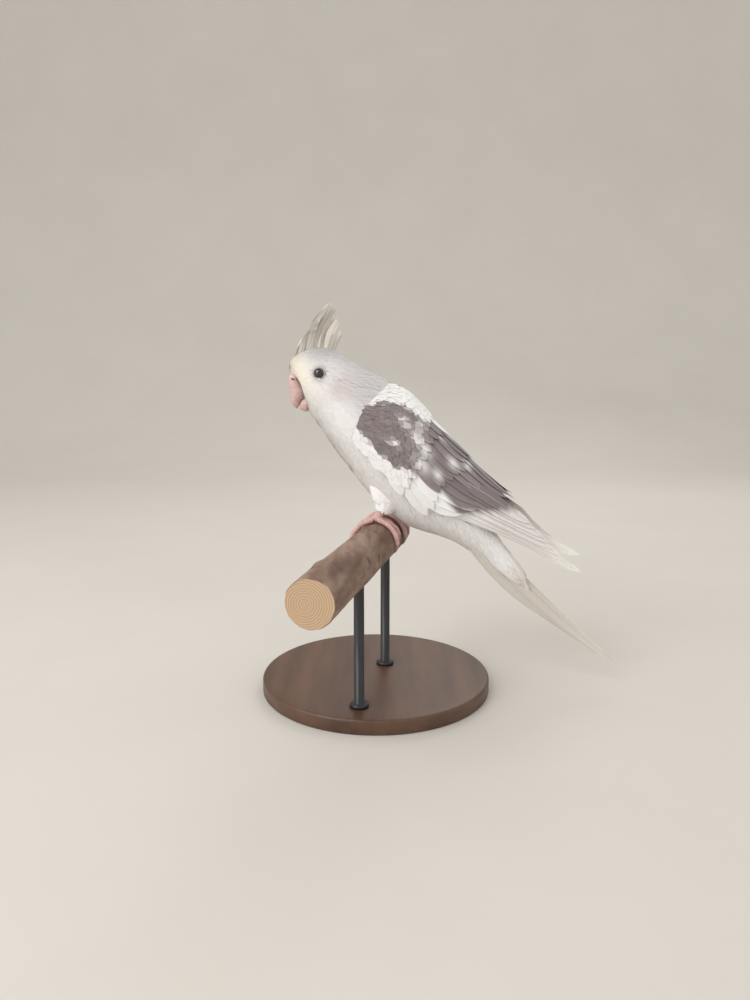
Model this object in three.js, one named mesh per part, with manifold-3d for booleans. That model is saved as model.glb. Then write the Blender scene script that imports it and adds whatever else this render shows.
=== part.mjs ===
// A life-size still model of a pale pied cockatiel gripping a short length of branch on a plain stand.
// Units are millimetres. +Z is up, the bird faces -X and its left side faces -Y.
// The origin is the middle of the underside of the stand's base.
import * as THREE from 'three';
import { mergeVertices } from 'three/addons/utils/BufferGeometryUtils.js';
import Module from 'manifold-3d';

const wasm = await Module();
wasm.setup();

// Driving dimensions
const GAP = 0.3;
const PERCH_RADIUS = 12.4;
const PERCH_AXIS_Z = 96;
const PERCH_TURN = THREE.MathUtils.degToRad(13.3);
const PERCH_NEAR_END = -130;
const PERCH_FAR_END = 46;
const LEG_SPREAD = 12;
const EYE_RADIUS = 3.7;
const EYE_X = -33.6;
const EYE_Z = 198.2;
const BASE_RADIUS = 72;
const BASE_THICKNESS = 9;
const ROD_RADIUS = 3;
const ROD_PLACES = [-42, 26];
const TAIL_TIP = [151.5, 16.4];
const CREST_TIP = [-23.5, 237];

// The body's sections from the forehead to the tail root. Each row holds the dorsal point's x and z,
// the ventral point's x and z, and the half width.
const BODY = [
  [-52.4, 201.4, -51.4, 196.6, 2.4],
  [-51.2, 206.0, -43.6, 190.2, 6.8],
  [-46.6, 210.2, -40.4, 177.4, 9.6],
  [-37.5, 213.2, -38.2, 171.6, 11.8],
  [-27.0, 212.6, -32.8, 164.6, 13.0],
  [-17.5, 207.6, -28.2, 157.0, 14.6],
  [-7.0, 200.6, -22.6, 149.0, 18.0],
  [4.0, 195.6, -15.0, 139.0, 21.8],
  [14.0, 188.0, -7.6, 129.5, 24.4],
  [23.0, 178.6, 0.2, 120.6, 25.4],
  [32.0, 167.6, 8.4, 112.6, 24.8],
  [41.0, 155.6, 17.6, 106.0, 23.2],
  [50.0, 142.6, 28.4, 101.8, 20.6],
  [58.0, 129.6, 39.4, 98.4, 17.0],
  [65.0, 117.0, 49.6, 94.2, 13.2],
  [70.5, 106.6, 58.4, 88.6, 9.8],
  [76.0, 98.4, 67.0, 83.0, 7.4],
];
const HEAD_END = 4.6;
const NECK_END = 7.1;
const TORSO_END = 14.6;
const TAIL_CORE_END = 16;

const material = (color, roughness) => new THREE.MeshStandardMaterial({ color, roughness, metalness: 0 });
const PLUMAGE = material(0xe9e5e0, 0.9);
const WING = material(0x9c8f8d, 0.9);
const HORN = material(0xcfa79f, 0.5);
const SKIN = material(0xd9a79f, 0.7);
const EYE = material(0x0c0a0a, 0.15);
const BARK = material(0x8d7266, 0.95);
const STAND = material(0x3b3a3a, 0.6);

// Points closer than the weld are one point, and surfaces that touch are parted by the parting.
const WELD = 1e-3;
const PARTING = 0.01;

// Turns a closed geometry into a solid that can be joined and cut.
function solid(geometry) {
  const bare = geometry.clone();
  bare.deleteAttribute('normal');
  bare.deleteAttribute('uv');
  const merged = mergeVertices(bare, WELD);
  const mesh = new wasm.Mesh({
    numProp: 3,
    vertProperties: new Float32Array(merged.attributes.position.array),
    triVerts: new Uint32Array(merged.index.array),
  });
  return new wasm.Manifold(mesh);
}

function largestSurface(body) {
  const parts = body.decompose();
  const largest = parts.reduce((best, part) => (part.volume() > best.volume() ? part : best));
  const mesh = largest.getMesh();
  const geometry = new THREE.BufferGeometry();
  geometry.setAttribute('position', new THREE.BufferAttribute(mesh.vertProperties, 3));
  geometry.setIndex(new THREE.BufferAttribute(mesh.triVerts, 1));
  return geometry;
}

// Draws apart the points at which two stretches of one surface touch, so that each edge has two faces.
function partTouching(geometry) {
  geometry.computeVertexNormals();
  const { position, normal } = geometry.attributes;
  const taken = new Set();
  const [point, out] = [new THREE.Vector3(), new THREE.Vector3()];
  for (let i = 0; i < position.count; i++) {
    point.fromBufferAttribute(position, i);
    const key = point.toArray().map((value) => Math.round(value / WELD)).join();
    if (taken.has(key)) {
      point.addScaledVector(out.fromBufferAttribute(normal, i), -PARTING);
      position.setXYZ(i, point.x, point.y, point.z);
    }
    taken.add(key);
  }
  geometry.deleteAttribute('normal');
  return geometry;
}

// Gives the largest closed surface of a solid back as a geometry. Welding its points can part a scrap
// or a pocket from it, so the largest is taken again after it.
const geometryOf = (body) => partTouching(largestSurface(solid(largestSurface(body))));

const fuse = (bodies) => bodies.reduce((whole, body) => whole.add(body));

// Reads a list of number rows at a fractional place along it, on a Catmull-Rom curve.
function readAlong(rows, place) {
  const last = rows.length - 1;
  const i = Math.min(Math.max(Math.floor(place), 0), last - 1);
  const t = place - i;
  const [a, b, c, d] = [-1, 0, 1, 2].map((k) => rows[Math.min(Math.max(i + k, 0), last)]);
  return b.map((_, k) => 0.5 * (2 * b[k] + (c[k] - a[k]) * t
    + (2 * a[k] - 5 * b[k] + 4 * c[k] - d[k]) * t * t
    + (3 * b[k] - a[k] - 3 * c[k] + d[k]) * t * t * t));
}

// Skins closed rings of equal point counts and closes both ends with a fan.
// A blade's rings go over its top and back under it, and its two faces are split into triangles alike.
function skin(rings, blade = false) {
  const count = rings[0].length;
  const points = rings.flat();
  const first = points.length;
  for (const ring of [rings[0], rings[rings.length - 1]]) {
    const middle = ring.reduce((sum, p) => sum.add(p), new THREE.Vector3()).divideScalar(count);
    points.push(middle);
  }
  const index = [];
  for (let r = 0; r < rings.length - 1; r++) {
    for (let i = 0; i < count; i++) {
      const j = (i + 1) % count;
      const [a, b] = [r * count + i, r * count + j];
      if (blade && i >= count / 2) index.push(a, b, b + count, a, b + count, a + count);
      else index.push(a, b, a + count, b, b + count, a + count);
    }
  }
  const top = (rings.length - 1) * count;
  for (let i = 0; i < count; i++) {
    const j = (i + 1) % count;
    index.push(first, j, i, first + 1, top + i, top + j);
  }
  const geometry = new THREE.BufferGeometry().setFromPoints(points);
  geometry.setIndex(index);
  return outward(geometry);
}

// Turns the faces of a closed geometry outward.
function outward(geometry) {
  const p = geometry.attributes.position;
  const index = geometry.index.array;
  const [a, b, c] = [new THREE.Vector3(), new THREE.Vector3(), new THREE.Vector3()];
  let volume = 0;
  for (let i = 0; i < index.length; i += 3) {
    a.fromBufferAttribute(p, index[i]);
    b.fromBufferAttribute(p, index[i + 1]);
    c.fromBufferAttribute(p, index[i + 2]);
    volume += a.dot(b.cross(c));
  }
  if (volume < 0) {
    for (let i = 0; i < index.length; i += 3) {
      [index[i + 1], index[i + 2]] = [index[i + 2], index[i + 1]];
    }
  }
  return geometry;
}

// One elliptic ring of a row of sections, grown outward by a margin.
function sectionRing(rows, place, sides, grow = 0, y = 0) {
  const [dx, dz, vx, vz, half] = readAlong(rows, place);
  const depth = Math.hypot(dx - vx, dz - vz) / 2;
  const up = [(dx - vx) / 2 / depth, (dz - vz) / 2 / depth];
  const ring = [];
  for (let i = 0; i < sides; i++) {
    const a = (i / sides) * 2 * Math.PI;
    const reach = Math.cos(a) * (depth + grow);
    ring.push(new THREE.Vector3(
      (dx + vx) / 2 + reach * up[0],
      y + Math.sin(a) * (half + grow),
      (dz + vz) / 2 + reach * up[1],
    ));
  }
  return ring;
}

function loft(rows, from, to, steps, sides, grow = 0, y = 0) {
  const rings = [];
  for (let k = 0; k <= steps; k++) {
    rings.push(sectionRing(rows, from + ((to - from) * k) / steps, sides, grow, y));
  }
  return solid(skin(rings));
}

// The half gap of a parting cut, in sections of the body, at a place along it.
function cutAt(place) {
  const [a, b] = [readAlong(BODY, place - 0.1), readAlong(BODY, place + 0.1)];
  const step = Math.hypot(a[0] + a[2] - b[0] - b[2], a[1] + a[3] - b[1] - b[3]) / 2 / 0.2;
  return GAP / 2 / step + 0.02;
}

// Where the side of the head stands at a place of its profile, found by a search over its sections.
function sideOfHead(x, z) {
  let best = [Infinity, 0];
  for (let place = 0.2; place < HEAD_END; place += 0.02) {
    for (const p of sectionRing(BODY, place, 72)) {
      const miss = Math.hypot(p.x - x, p.z - z);
      if (p.y > 0 && miss < best[0]) best = [miss, p.y];
    }
  }
  return best[1];
}

// A tube with a radius that changes along its path of points.
function tube(path, radii, sides) {
  const rings = path.map((p, k) => {
    const ahead = path[Math.min(k + 1, path.length - 1)].clone().sub(path[Math.max(k - 1, 0)]).normalize();
    const across = new THREE.Vector3(0, 1, 0).cross(ahead);
    if (across.lengthSq() < 1e-6) across.set(1, 0, 0);
    across.normalize();
    const over = ahead.clone().cross(across);
    return Array.from({ length: sides }, (_, i) => {
      const a = (i / sides) * 2 * Math.PI;
      return p.clone()
        .addScaledVector(across, Math.cos(a) * radii[k])
        .addScaledVector(over, Math.sin(a) * radii[k]);
    });
  });
  return solid(skin(rings));
}

const sphere = (radius, x, y, z, across = 12, up = 8) => solid(
  new THREE.SphereGeometry(radius, across, up).translate(x, y, z),
);

// The bill: rows from the root to the tip, front edge first, then the edge towards the throat.
const BILL_UPPER = [
  [-51.8, 197.1, -44.5, 191.9, 4.8],
  [-52.8, 193.7, -42.7, 189.1, 5.2],
  [-52.4, 189.7, -41.2, 187.6, 5.0],
  [-52.1, 185.8, -42.6, 184.2, 4.2],
  [-51.7, 182.1, -44.8, 182.5, 3.2],
  [-50.7, 179.1, -46.1, 179.8, 1.9],
  [-48.6, 177.1, -47.8, 177.3, 0.5],
];
const BILL_LOWER = [
  [-41.1, 188.1, -39.7, 178.7, 4.8],
  [-42.5, 184.5, -41.6, 175.4, 4.5],
  [-44.9, 182.5, -44.6, 175.8, 3.4],
  [-46.3, 179.5, -46.6, 177.0, 1.5],
];

const billUpper = (grow = 0) => loft(BILL_UPPER, 0, BILL_UPPER.length - 1, 10, 14, grow);
const billLower = (grow = 0) => loft(BILL_LOWER, 0, BILL_LOWER.length - 1, 6, 12, grow);

function head() {
  let body = loft(BODY, 0, HEAD_END - cutAt(HEAD_END), 12, 24);
  const side = sideOfHead(EYE_X, EYE_Z);
  for (const hand of [-1, 1]) {
    const lid = new THREE.TorusGeometry(EYE_RADIUS * 0.86, 0.8, 5, 12);
    lid.rotateX(Math.PI / 2).translate(EYE_X, hand * (side - 0.1), EYE_Z);
    const cere = sphere(2.5, -49.0, hand * 2.9, 195.6, 8, 6);
    body = body.add(solid(lid)).add(cere);
  }
  for (const hand of [-1, 1]) {
    body = body.subtract(sphere(EYE_RADIUS + GAP, EYE_X, hand * (side - EYE_RADIUS * 0.62), EYE_Z));
    body = body.subtract(sphere(0.7, -49.4, hand * 5.2, 195.2, 6, 4));
  }
  return geometryOf(body.add(crest()).subtract(billUpper(GAP)).subtract(billLower(GAP)));
}

const eye = (hand) => geometryOf(
  sphere(EYE_RADIUS, EYE_X, hand * (sideOfHead(EYE_X, EYE_Z) - EYE_RADIUS * 0.62), EYE_Z),
);

const neck = () => geometryOf(loft(BODY, HEAD_END + cutAt(HEAD_END), NECK_END - cutAt(NECK_END), 5, 24));

const torsoSolid = (grow = 0) => loft(
  BODY, NECK_END + cutAt(NECK_END), TORSO_END - cutAt(TORSO_END), 12, 24, grow,
);
const bodyForCuts = () => loft(BODY, 3, TAIL_CORE_END, 16, 24, GAP);

// The folded wing's envelope from the shoulder to the tip of the flight feathers, rows as in the body.
const WING_ROWS = [
  [0.0, 193.4, -20.4, 145.6, 22.0],
  [12.0, 190.2, -12.6, 133.4, 25.8],
  [22.5, 181.2, -3.6, 123.2, 27.2],
  [33.0, 170.2, 5.4, 114.8, 26.8],
  [44.0, 158.8, 16.0, 108.0, 24.6],
  [55.0, 147.6, 27.0, 103.5, 21.8],
  [66.0, 136.2, 40.0, 101.5, 18.4],
  [77.0, 125.8, 53.0, 100.0, 14.6],
  [88.0, 116.4, 67.0, 97.0, 11.2],
  [99.0, 107.6, 82.0, 91.5, 8.6],
  [110.0, 98.6, 97.0, 84.5, 6.8],
  [121.0, 89.0, 112.0, 77.0, 5.6],
  [130.5, 79.0, 127.0, 73.0, 4.8],
];
const FAR_WING_RAISE = 9;

// A point on a wing's envelope at an angle from the back, lifted outward by a height.
function onWing(place, angle, height, hand) {
  const [dx, dz, vx, vz, half] = readAlong(WING_ROWS, place);
  const raise = hand > 0 ? FAR_WING_RAISE * (Math.max(place - 5, 0) / 7) ** 1.5 : 0;
  const depth = Math.hypot(dx - vx, dz - vz) / 2;
  const up = [(dx - vx) / 2 / depth, (dz - vz) / 2 / depth];
  const reach = Math.cos(angle) * (depth + height);
  return new THREE.Vector3(
    (dx + vx) / 2 + reach * up[0],
    hand * Math.sin(angle) * (half + height),
    (dz + vz) / 2 + reach * up[1] + raise,
  );
}

// A curved plate on the wing's envelope, thick in the middle and thin at its borders.
function wingPlate(hand, from, to, first, last, thick, steps, across) {
  const rings = [];
  for (let k = 0; k <= steps; k++) {
    const t = k / steps;
    const place = from + (to - from) * t;
    const narrowing = 0.5 - 0.5 * Math.cos(2 * Math.PI * Math.min(t * 0.9 + 0.06, 0.97));
    const full = thick * (0.35 + 0.65 * Math.sqrt(narrowing));
    const [a0, a1] = [first(t), last(t)];
    const ring = [];
    for (let i = 0; i <= across; i++) {
      const bulge = Math.sqrt(Math.sin(Math.PI * (0.08 + (0.84 * i) / across)));
      ring.push(onWing(place, a0 + ((a1 - a0) * i) / across, 0.9 + full * bulge, hand));
    }
    for (let i = across; i >= 0; i--) {
      ring.push(onWing(place, a0 + ((a1 - a0) * i) / across, 0.7, hand));
    }
    rings.push(ring);
  }
  return solid(skin(rings));
}

const degrees = THREE.MathUtils.degToRad;
const mix = (from, to, t) => from + (to - from) * t;

// A seeded draw between -1 and 1, so that every build gives the same feathers.
let seed = 7;
function draw() {
  seed = (seed * 16807) % 2147483647;
  return (seed / 2147483647) * 2 - 1;
}

const VANE_THICKNESS = 0.56;

// How wide a vane is at a share t of its length: narrow at the quill, full, then tapered to its point.
function vaneWidth(t, pointed) {
  const swell = Math.min(1, 0.5 + 1.1 * t);
  const taper = t > 0.6 ? Math.sqrt(Math.max(0, 1 - ((t - 0.6) / 0.4) ** (1 / pointed))) : 1;
  return swell * Math.max(taper, 0.16);
}

// A feather's vane: a thin cambered blade along a path, with an outward normal at each point.
// A positive roll lifts the edge that lies on the path's side of (ahead x normal).
function vane(path, normals, width, roll = 0, pointed = 0.5, thickness = VANE_THICKNESS) {
  const last = path.length - 1;
  const rings = path.map((p, k) => {
    const t = k / last;
    const ahead = path[Math.min(k + 1, last)].clone().sub(path[Math.max(k - 1, 0)]).normalize();
    const out = normals[k].clone().addScaledVector(ahead, -normals[k].dot(ahead)).normalize();
    const side = ahead.clone().cross(out);
    const lateral = side.clone().multiplyScalar(Math.cos(roll)).addScaledVector(out, Math.sin(roll));
    const face = out.clone().multiplyScalar(Math.cos(roll)).addScaledVector(side, -Math.sin(roll));
    const half = (width / 2) * vaneWidth(t, pointed);
    const thick = (thickness / 2) * (k === last ? 0.7 : 1);
    const drop = half * 0.14;
    const at = (reach, lift) => p.clone().addScaledVector(lateral, reach).addScaledVector(face, lift);
    return [
      at(-half, thick - drop), at(0, thick), at(half, thick - drop),
      at(half, -thick - drop), at(0, -thick), at(-half, -thick - drop),
    ];
  });
  return solid(skin(rings, true));
}

// The wing's tiers from the flight feathers out to the smallest coverts. Places and angles are on the
// wing's envelope, given for the feather nearest the back and then for the one nearest the belly.
const WING_TIERS = [
  {
    count: 6, steps: 4, width: 8.5, pointed: 0.8, roll: 3, lift: [1.3, 0.2], stack: 0.8,
    root: [4.0, 3.2], tip: [9.2, 11.95], rootAngle: [62, 98], tipAngle: [58, 96],
  },
  {
    count: 7, steps: 3, width: 12.5, pointed: 0.5, roll: 9, lift: [1.7, 3.6], stack: 0,
    root: [3.0, 3.0], tip: [7.5, 6.1], rootAngle: [20, 98], tipAngle: [20, 98],
  },
  {
    count: 6, steps: 3, width: 13.5, pointed: 0.7, roll: 9, lift: [2.0, 4.4], stack: 0,
    root: [2.2, 2.2], tip: [5.0, 4.5], rootAngle: [20, 88], tipAngle: [22, 116],
  },
  {
    count: 6, steps: 3, width: 13, pointed: 0.5, roll: 9, lift: [2.2, 4.4], stack: 0,
    root: [1.3, 1.2], tip: [3.5, 3.0], rootAngle: [20, 96], tipAngle: [22, 108],
  },
  {
    count: 4, steps: 3, width: 17, pointed: 0.5, roll: 9, lift: [2.2, 4.2], stack: 0,
    root: [0.5, 0.4], tip: [2.3, 1.9], rootAngle: [24, 92], tipAngle: [24, 104],
  },
];

// One feather of a tier, laid from its root to its tip on the wing's envelope.
function wingFeather(tier, k, hand) {
  const share = k / (tier.count - 1);
  const stray = 0.12 * draw();
  const path = [];
  const normals = [];
  for (let i = 0; i <= tier.steps; i++) {
    const t = i / tier.steps;
    const place = mix(mix(...tier.root, share), mix(...tier.tip, share) + stray, t);
    const angle = degrees(mix(mix(...tier.rootAngle, share), mix(...tier.tipAngle, share), t));
    const rise = mix(...tier.lift, t) + tier.stack * (1 - share) * (tier.count - 1) * Math.min(1, 2 * t);
    const here = onWing(place, angle, rise, hand);
    path.push(here);
    normals.push(onWing(place, angle, rise + 1, hand).sub(here));
  }
  return vane(path, normals, tier.width * (1 + 0.06 * draw()), degrees(tier.roll) * -hand, tier.pointed);
}

function wing(hand) {
  const core = wingPlate(
    hand, 0.2, 5.0, (t) => degrees(18 + 2 * t), (t) => degrees(104 - 6 * t), 2.8, 6, 5,
  );
  const feathers = WING_TIERS.flatMap((tier) => (
    Array.from({ length: tier.count }, (_, k) => wingFeather(tier, k, hand))
  ));
  return geometryOf(fuse([core, ...feathers]).subtract(bodyForCuts()).subtract(thighSolid(hand, GAP)));
}

// The tail's feathers lie like a tent: the middle pair on top, each pair further out lower and shorter.
// Their inner edges run along the ridge, each pair a step further from it than the one above.
const TAIL_ROOT = [62.5, 102.5];
const TAIL_SHARES = [1, 0.95, 0.86, 0.75, 0.64];
const TAIL_WIDTH = 9.2;
const TAIL_POINTED = 0.85;
const TAIL_THICKNESS = 0.54;
const TAIL_STEPS = 5;
const TAIL_PAIR_STEP = 1.8;
const TAIL_PAIR_DROP = 0.9;
const TAIL_SLOPE = degrees(50);

function tailFeather(pair, hand) {
  const start = new THREE.Vector3(TAIL_ROOT[0], 0, TAIL_ROOT[1]);
  const end = new THREE.Vector3(TAIL_TIP[0], 0, TAIL_TIP[1] + 1);
  const ahead = end.clone().sub(start);
  const up = new THREE.Vector3(-ahead.z, 0, ahead.x).normalize();
  const wide = new THREE.Vector3(0, hand, 0);
  const [flat, steep] = [Math.cos(TAIL_SLOPE), Math.sin(TAIL_SLOPE)];
  const normal = up.clone().multiplyScalar(flat).addScaledVector(wide, steep);
  const down = wide.clone().multiplyScalar(flat).addScaledVector(up, -steep);
  const path = [];
  for (let i = 0; i <= TAIL_STEPS; i++) {
    const t = i / TAIL_STEPS;
    const along = t * TAIL_SHARES[pair];
    const half = (TAIL_WIDTH / 2) * vaneWidth(t, TAIL_POINTED);
    const step = TAIL_PAIR_STEP * pair * (1 - 0.6 * along ** 2);
    path.push(start.clone().addScaledVector(ahead, along)
      .addScaledVector(down, half + step)
      .addScaledVector(normal, -TAIL_PAIR_DROP * pair));
  }
  return vane(path, path.map(() => normal), TAIL_WIDTH, 0, TAIL_POINTED, TAIL_THICKNESS);
}

// The coverts that hide the roots of the tail: angle from the back and length, for either side.
const TAIL_COVERTS = [[22, 25], [75, 20], [150, 27]];
const TAIL_WAY = new THREE.Vector3(0.74, 0, -0.68);

function tailCovert(angle, length, hand) {
  const [dx, dz, vx, vz, half] = readAlong(BODY, TORSO_END + 0.45);
  const depth = Math.hypot(dx - vx, dz - vz) / 2;
  const up = new THREE.Vector3((dx - vx) / 2 / depth, 0, (dz - vz) / 2 / depth);
  const wide = new THREE.Vector3(0, hand, 0);
  const normal = up.clone().multiplyScalar(Math.cos(angle)).addScaledVector(wide, Math.sin(angle));
  const path = [];
  for (let i = 0; i <= 3; i++) {
    const t = i / 3;
    const shrink = 1 - 0.34 * t;
    const rise = mix(-1.6, 1.2, t);
    path.push(new THREE.Vector3((dx + vx) / 2, 0, (dz + vz) / 2)
      .addScaledVector(TAIL_WAY, length * t)
      .addScaledVector(up, Math.cos(angle) * (depth * shrink + rise))
      .addScaledVector(wide, Math.sin(angle) * (half * shrink + rise)));
  }
  return vane(path, path.map(() => normal), 10, 0, 0.6);
}

function tail() {
  const core = loft(BODY, TORSO_END + cutAt(TORSO_END), TAIL_CORE_END, 2, 14);
  const pieces = [core];
  for (const hand of [-1, 1]) {
    for (let pair = 0; pair < TAIL_SHARES.length; pair++) pieces.push(tailFeather(pair, hand));
    for (const [angle, length] of TAIL_COVERTS) {
      pieces.push(tailCovert(degrees(angle), length, hand));
    }
  }
  return geometryOf(fuse(pieces).subtract(loft(BODY, 10, TORSO_END, 8, 28, GAP)));
}

// The crest stands feather by feather along the crown, longest in the middle, and sweeps up and back.
const CREST_COUNT = 10;
const CREST_WIDTH = 3.8;
const CREST_HEIGHT = 26;
function crestFeather(k) {
  const share = k / (CREST_COUNT - 1);
  const [dx, dz] = readAlong(BODY, mix(1.5, 4.1, share));
  const side = (k % 2 ? 1 : -1) * (1.8 + 0.2 * draw());
  const root = new THREE.Vector3(dx, side, dz - 2.6);
  const height = CREST_HEIGHT * Math.sin(Math.PI * mix(0.22, 0.86, share)) ** 1.3;
  const tip = new THREE.Vector3(mix(-33, CREST_TIP[0] + 3, share), side * 0.5, dz + height);
  if (k === CREST_COUNT / 2) tip.set(CREST_TIP[0], 0.3, CREST_TIP[1]);
  const bend = new THREE.Vector3(mix(root.x, tip.x, 0.22), side, mix(root.z, tip.z, 0.62));
  const curve = new THREE.QuadraticBezierCurve3(root, bend, tip);
  const path = curve.getPoints(3);
  const turn = degrees(62) * (k % 2 ? 1 : -1);
  const normals = path.map((_, i) => {
    const ahead = curve.getTangent(i / 3);
    return new THREE.Vector3(-ahead.z * Math.cos(turn), Math.sin(turn), ahead.x * Math.cos(turn));
  });
  return vane(path, normals, CREST_WIDTH, 0, 0.8, 0.6);
}
const crest = () => fuse(Array.from({ length: CREST_COUNT }, (_, k) => crestFeather(k)));

// The perch's own directions: along its axis, across it and up.
const ALONG = new THREE.Vector3(Math.sin(PERCH_TURN), Math.cos(PERCH_TURN), 0);
const ACROSS = new THREE.Vector3(Math.cos(PERCH_TURN), -Math.sin(PERCH_TURN), 0);
const UP = new THREE.Vector3(0, 0, 1);

// A point at a distance along the perch, an angle round it from +X and a distance from its axis.
function roundPerch(distance, angle, radius) {
  return new THREE.Vector3(0, -LEG_SPREAD, PERCH_AXIS_Z)
    .addScaledVector(ALONG, distance)
    .addScaledVector(ACROSS, Math.cos(angle) * radius)
    .addScaledVector(UP, Math.sin(angle) * radius);
}

function perchSolid(grow = 0) {
  const rings = [];
  for (let k = 0; k <= 5; k++) {
    const distance = PERCH_NEAR_END + ((PERCH_FAR_END - PERCH_NEAR_END) * k) / 5;
    rings.push(Array.from({ length: 28 }, (_, i) => (
      roundPerch(distance, (i / 28) * 2 * Math.PI, PERCH_RADIUS + grow)
    )));
  }
  return solid(skin(rings));
}

// Two toes point forward and two back. Each has a reach round the perch, a spread along it and a length.
const TOES = [
  { way: 1, spread: -6.0, sweep: 78 },
  { way: 1, spread: 3.5, sweep: 70 },
  { way: -1, spread: -4.0, sweep: 84 },
  { way: -1, spread: 4.5, sweep: 66 },
];
const TOE_RADIUS = 1.9;

// Where a leg stands along the perch, so that both feet are level on it.
const legPlace = (hand) => (hand < 0 ? 0 : (2 * LEG_SPREAD) / Math.cos(PERCH_TURN));

// A toe's path round the perch, read from its knuckle at 0 to the tip of its claw past 1.
function toePoint(toe, hand, t, radius) {
  const angle = degrees(90 + toe.way * (6 + toe.sweep * t));
  const along = legPlace(hand) + toe.spread * Math.min(1, 0.25 + t);
  return roundPerch(along, angle, PERCH_RADIUS + GAP + radius);
}

function foot(hand) {
  const pieces = TOES.map((toe) => {
    const path = [];
    const radii = [];
    for (let k = 0; k <= 6; k++) {
      const radius = TOE_RADIUS * (1 - 0.22 * (k / 6)) * (k % 2 ? 1.06 : 0.97);
      radii.push(radius);
      path.push(toePoint(toe, hand, k / 6, radius + 0.05));
    }
    return tube(path, radii, 7);
  });
  const knuckle = roundPerch(legPlace(hand), degrees(88), PERCH_RADIUS + GAP + 2.9);
  pieces.push(sphere(2.8, knuckle.x, knuckle.y, knuckle.z, 10, 7));
  const ankle = knuckle.clone().add(new THREE.Vector3(3.4, 0, 4.6));
  pieces.push(tube([knuckle, ankle], [2.3, 2.1], 10));
  const clear = fuse(pieces).subtract(perchSolid(GAP)).subtract(thighSolid(hand, GAP));
  return geometryOf(clear.subtract(bodyForCuts()));
}

function claw(hand, toe) {
  const path = [];
  const radii = [];
  for (let k = 0; k <= 4; k++) {
    const t = 1.018 + 0.23 * (k / 4);
    radii.push(1.15 * (1 - k / 4) ** 0.8 + 0.18);
    path.push(toePoint(toe, hand, t, 1.3 - 0.9 * (k / 4) ** 2));
  }
  return geometryOf(tube(path, radii, 6).subtract(perchSolid(GAP)));
}

function thighSolid(hand, grow = 0) {
  const place = roundPerch(legPlace(hand), degrees(90), 0);
  const rows = [
    [place.x - 5, 132, place.x + 18, 127, 6.5],
    [place.x - 3, 124, place.x + 15, 119, 6.0],
    [place.x + 0.5, 117, place.x + 9.5, 114.5, 4.0],
  ];
  return loft(rows, 0, 2, 4, 14, grow, place.y);
}
const thigh = (hand) => geometryOf(thighSolid(hand).subtract(bodyForCuts()));

function standRod(distance) {
  const place = roundPerch(distance, 0, 0);
  const height = PERCH_AXIS_Z - BASE_THICKNESS - GAP;
  const rod = new THREE.CylinderGeometry(ROD_RADIUS, ROD_RADIUS, height, 20);
  rod.rotateX(Math.PI / 2).translate(place.x, place.y, BASE_THICKNESS + GAP + height / 2);
  return geometryOf(solid(rod).subtract(perchSolid(GAP)));
}

function standBase() {
  const edge = 1.5;
  const profile = [
    [0, 0], [BASE_RADIUS - edge / 2, 0], [BASE_RADIUS, edge / 2], [BASE_RADIUS, BASE_THICKNESS - edge],
    [BASE_RADIUS - edge, BASE_THICKNESS], [0, BASE_THICKNESS],
  ].map(([x, y]) => new THREE.Vector2(x, y));
  return geometryOf(solid(new THREE.LatheGeometry(profile, 44).rotateX(Math.PI / 2)));
}

const group = new THREE.Group();
function add(name, geometry, finish) {
  const mesh = new THREE.Mesh(geometry, finish);
  mesh.name = name;
  group.add(mesh);
}

add('head', head(), PLUMAGE);
add('bill_upper', geometryOf(billUpper()), HORN);
add('bill_lower', geometryOf(billLower().subtract(billUpper(GAP))), HORN);
add('neck', neck(), PLUMAGE);
add('torso', geometryOf(torsoSolid()), PLUMAGE);
add('tail', tail(), PLUMAGE);
for (const [side, hand] of [['left', -1], ['right', 1]]) {
  add(`eye_${side}`, eye(hand), EYE);
  add(`wing_${side}`, wing(hand), WING);
  add(`thigh_${side}`, thigh(hand), PLUMAGE);
  add(`foot_${side}`, foot(hand), SKIN);
  TOES.forEach((toe, k) => add(`claw_${side}_${k + 1}`, claw(hand, toe), HORN));
}
add('perch', geometryOf(perchSolid()), BARK);
ROD_PLACES.forEach((distance, k) => add(`stand_rod_${k + 1}`, standRod(distance), STAND));
add('stand_base', standBase(), STAND);

export default group;
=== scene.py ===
"""A life-size still model of a pale pied cockatiel on a short branch, held by a plain stand."""
import math

import bpy
import numpy as np
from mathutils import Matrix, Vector


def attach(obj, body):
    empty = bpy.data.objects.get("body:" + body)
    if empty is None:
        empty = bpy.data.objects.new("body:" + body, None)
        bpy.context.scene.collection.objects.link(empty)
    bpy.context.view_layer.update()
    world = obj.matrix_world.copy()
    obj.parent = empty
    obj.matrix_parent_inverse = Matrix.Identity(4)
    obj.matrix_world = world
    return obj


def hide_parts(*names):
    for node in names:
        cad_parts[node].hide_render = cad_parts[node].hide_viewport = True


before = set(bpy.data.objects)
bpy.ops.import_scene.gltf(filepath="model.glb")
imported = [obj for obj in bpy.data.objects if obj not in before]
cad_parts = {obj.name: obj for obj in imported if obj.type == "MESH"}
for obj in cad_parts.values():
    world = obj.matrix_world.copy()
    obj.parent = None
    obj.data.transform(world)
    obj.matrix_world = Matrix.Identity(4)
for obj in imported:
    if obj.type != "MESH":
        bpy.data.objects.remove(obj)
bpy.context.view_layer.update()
draw = np.random.default_rng(20)

MM = 0.001
GAP = 0.3
BODY_NAME = "root"
SIDES = (("left", -1), ("right", 1))

# The photograph's camera: its place in millimetres, its tilt, and its focal length in pixels of the picture.
CAMERA_AT = (-0.6, -471.4, 198.7)
CAMERA_TILT = math.radians(9.4)
FOCAL_PIXELS = 770
PHOTO_HEIGHT = 1000
SENSOR = 36

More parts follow.
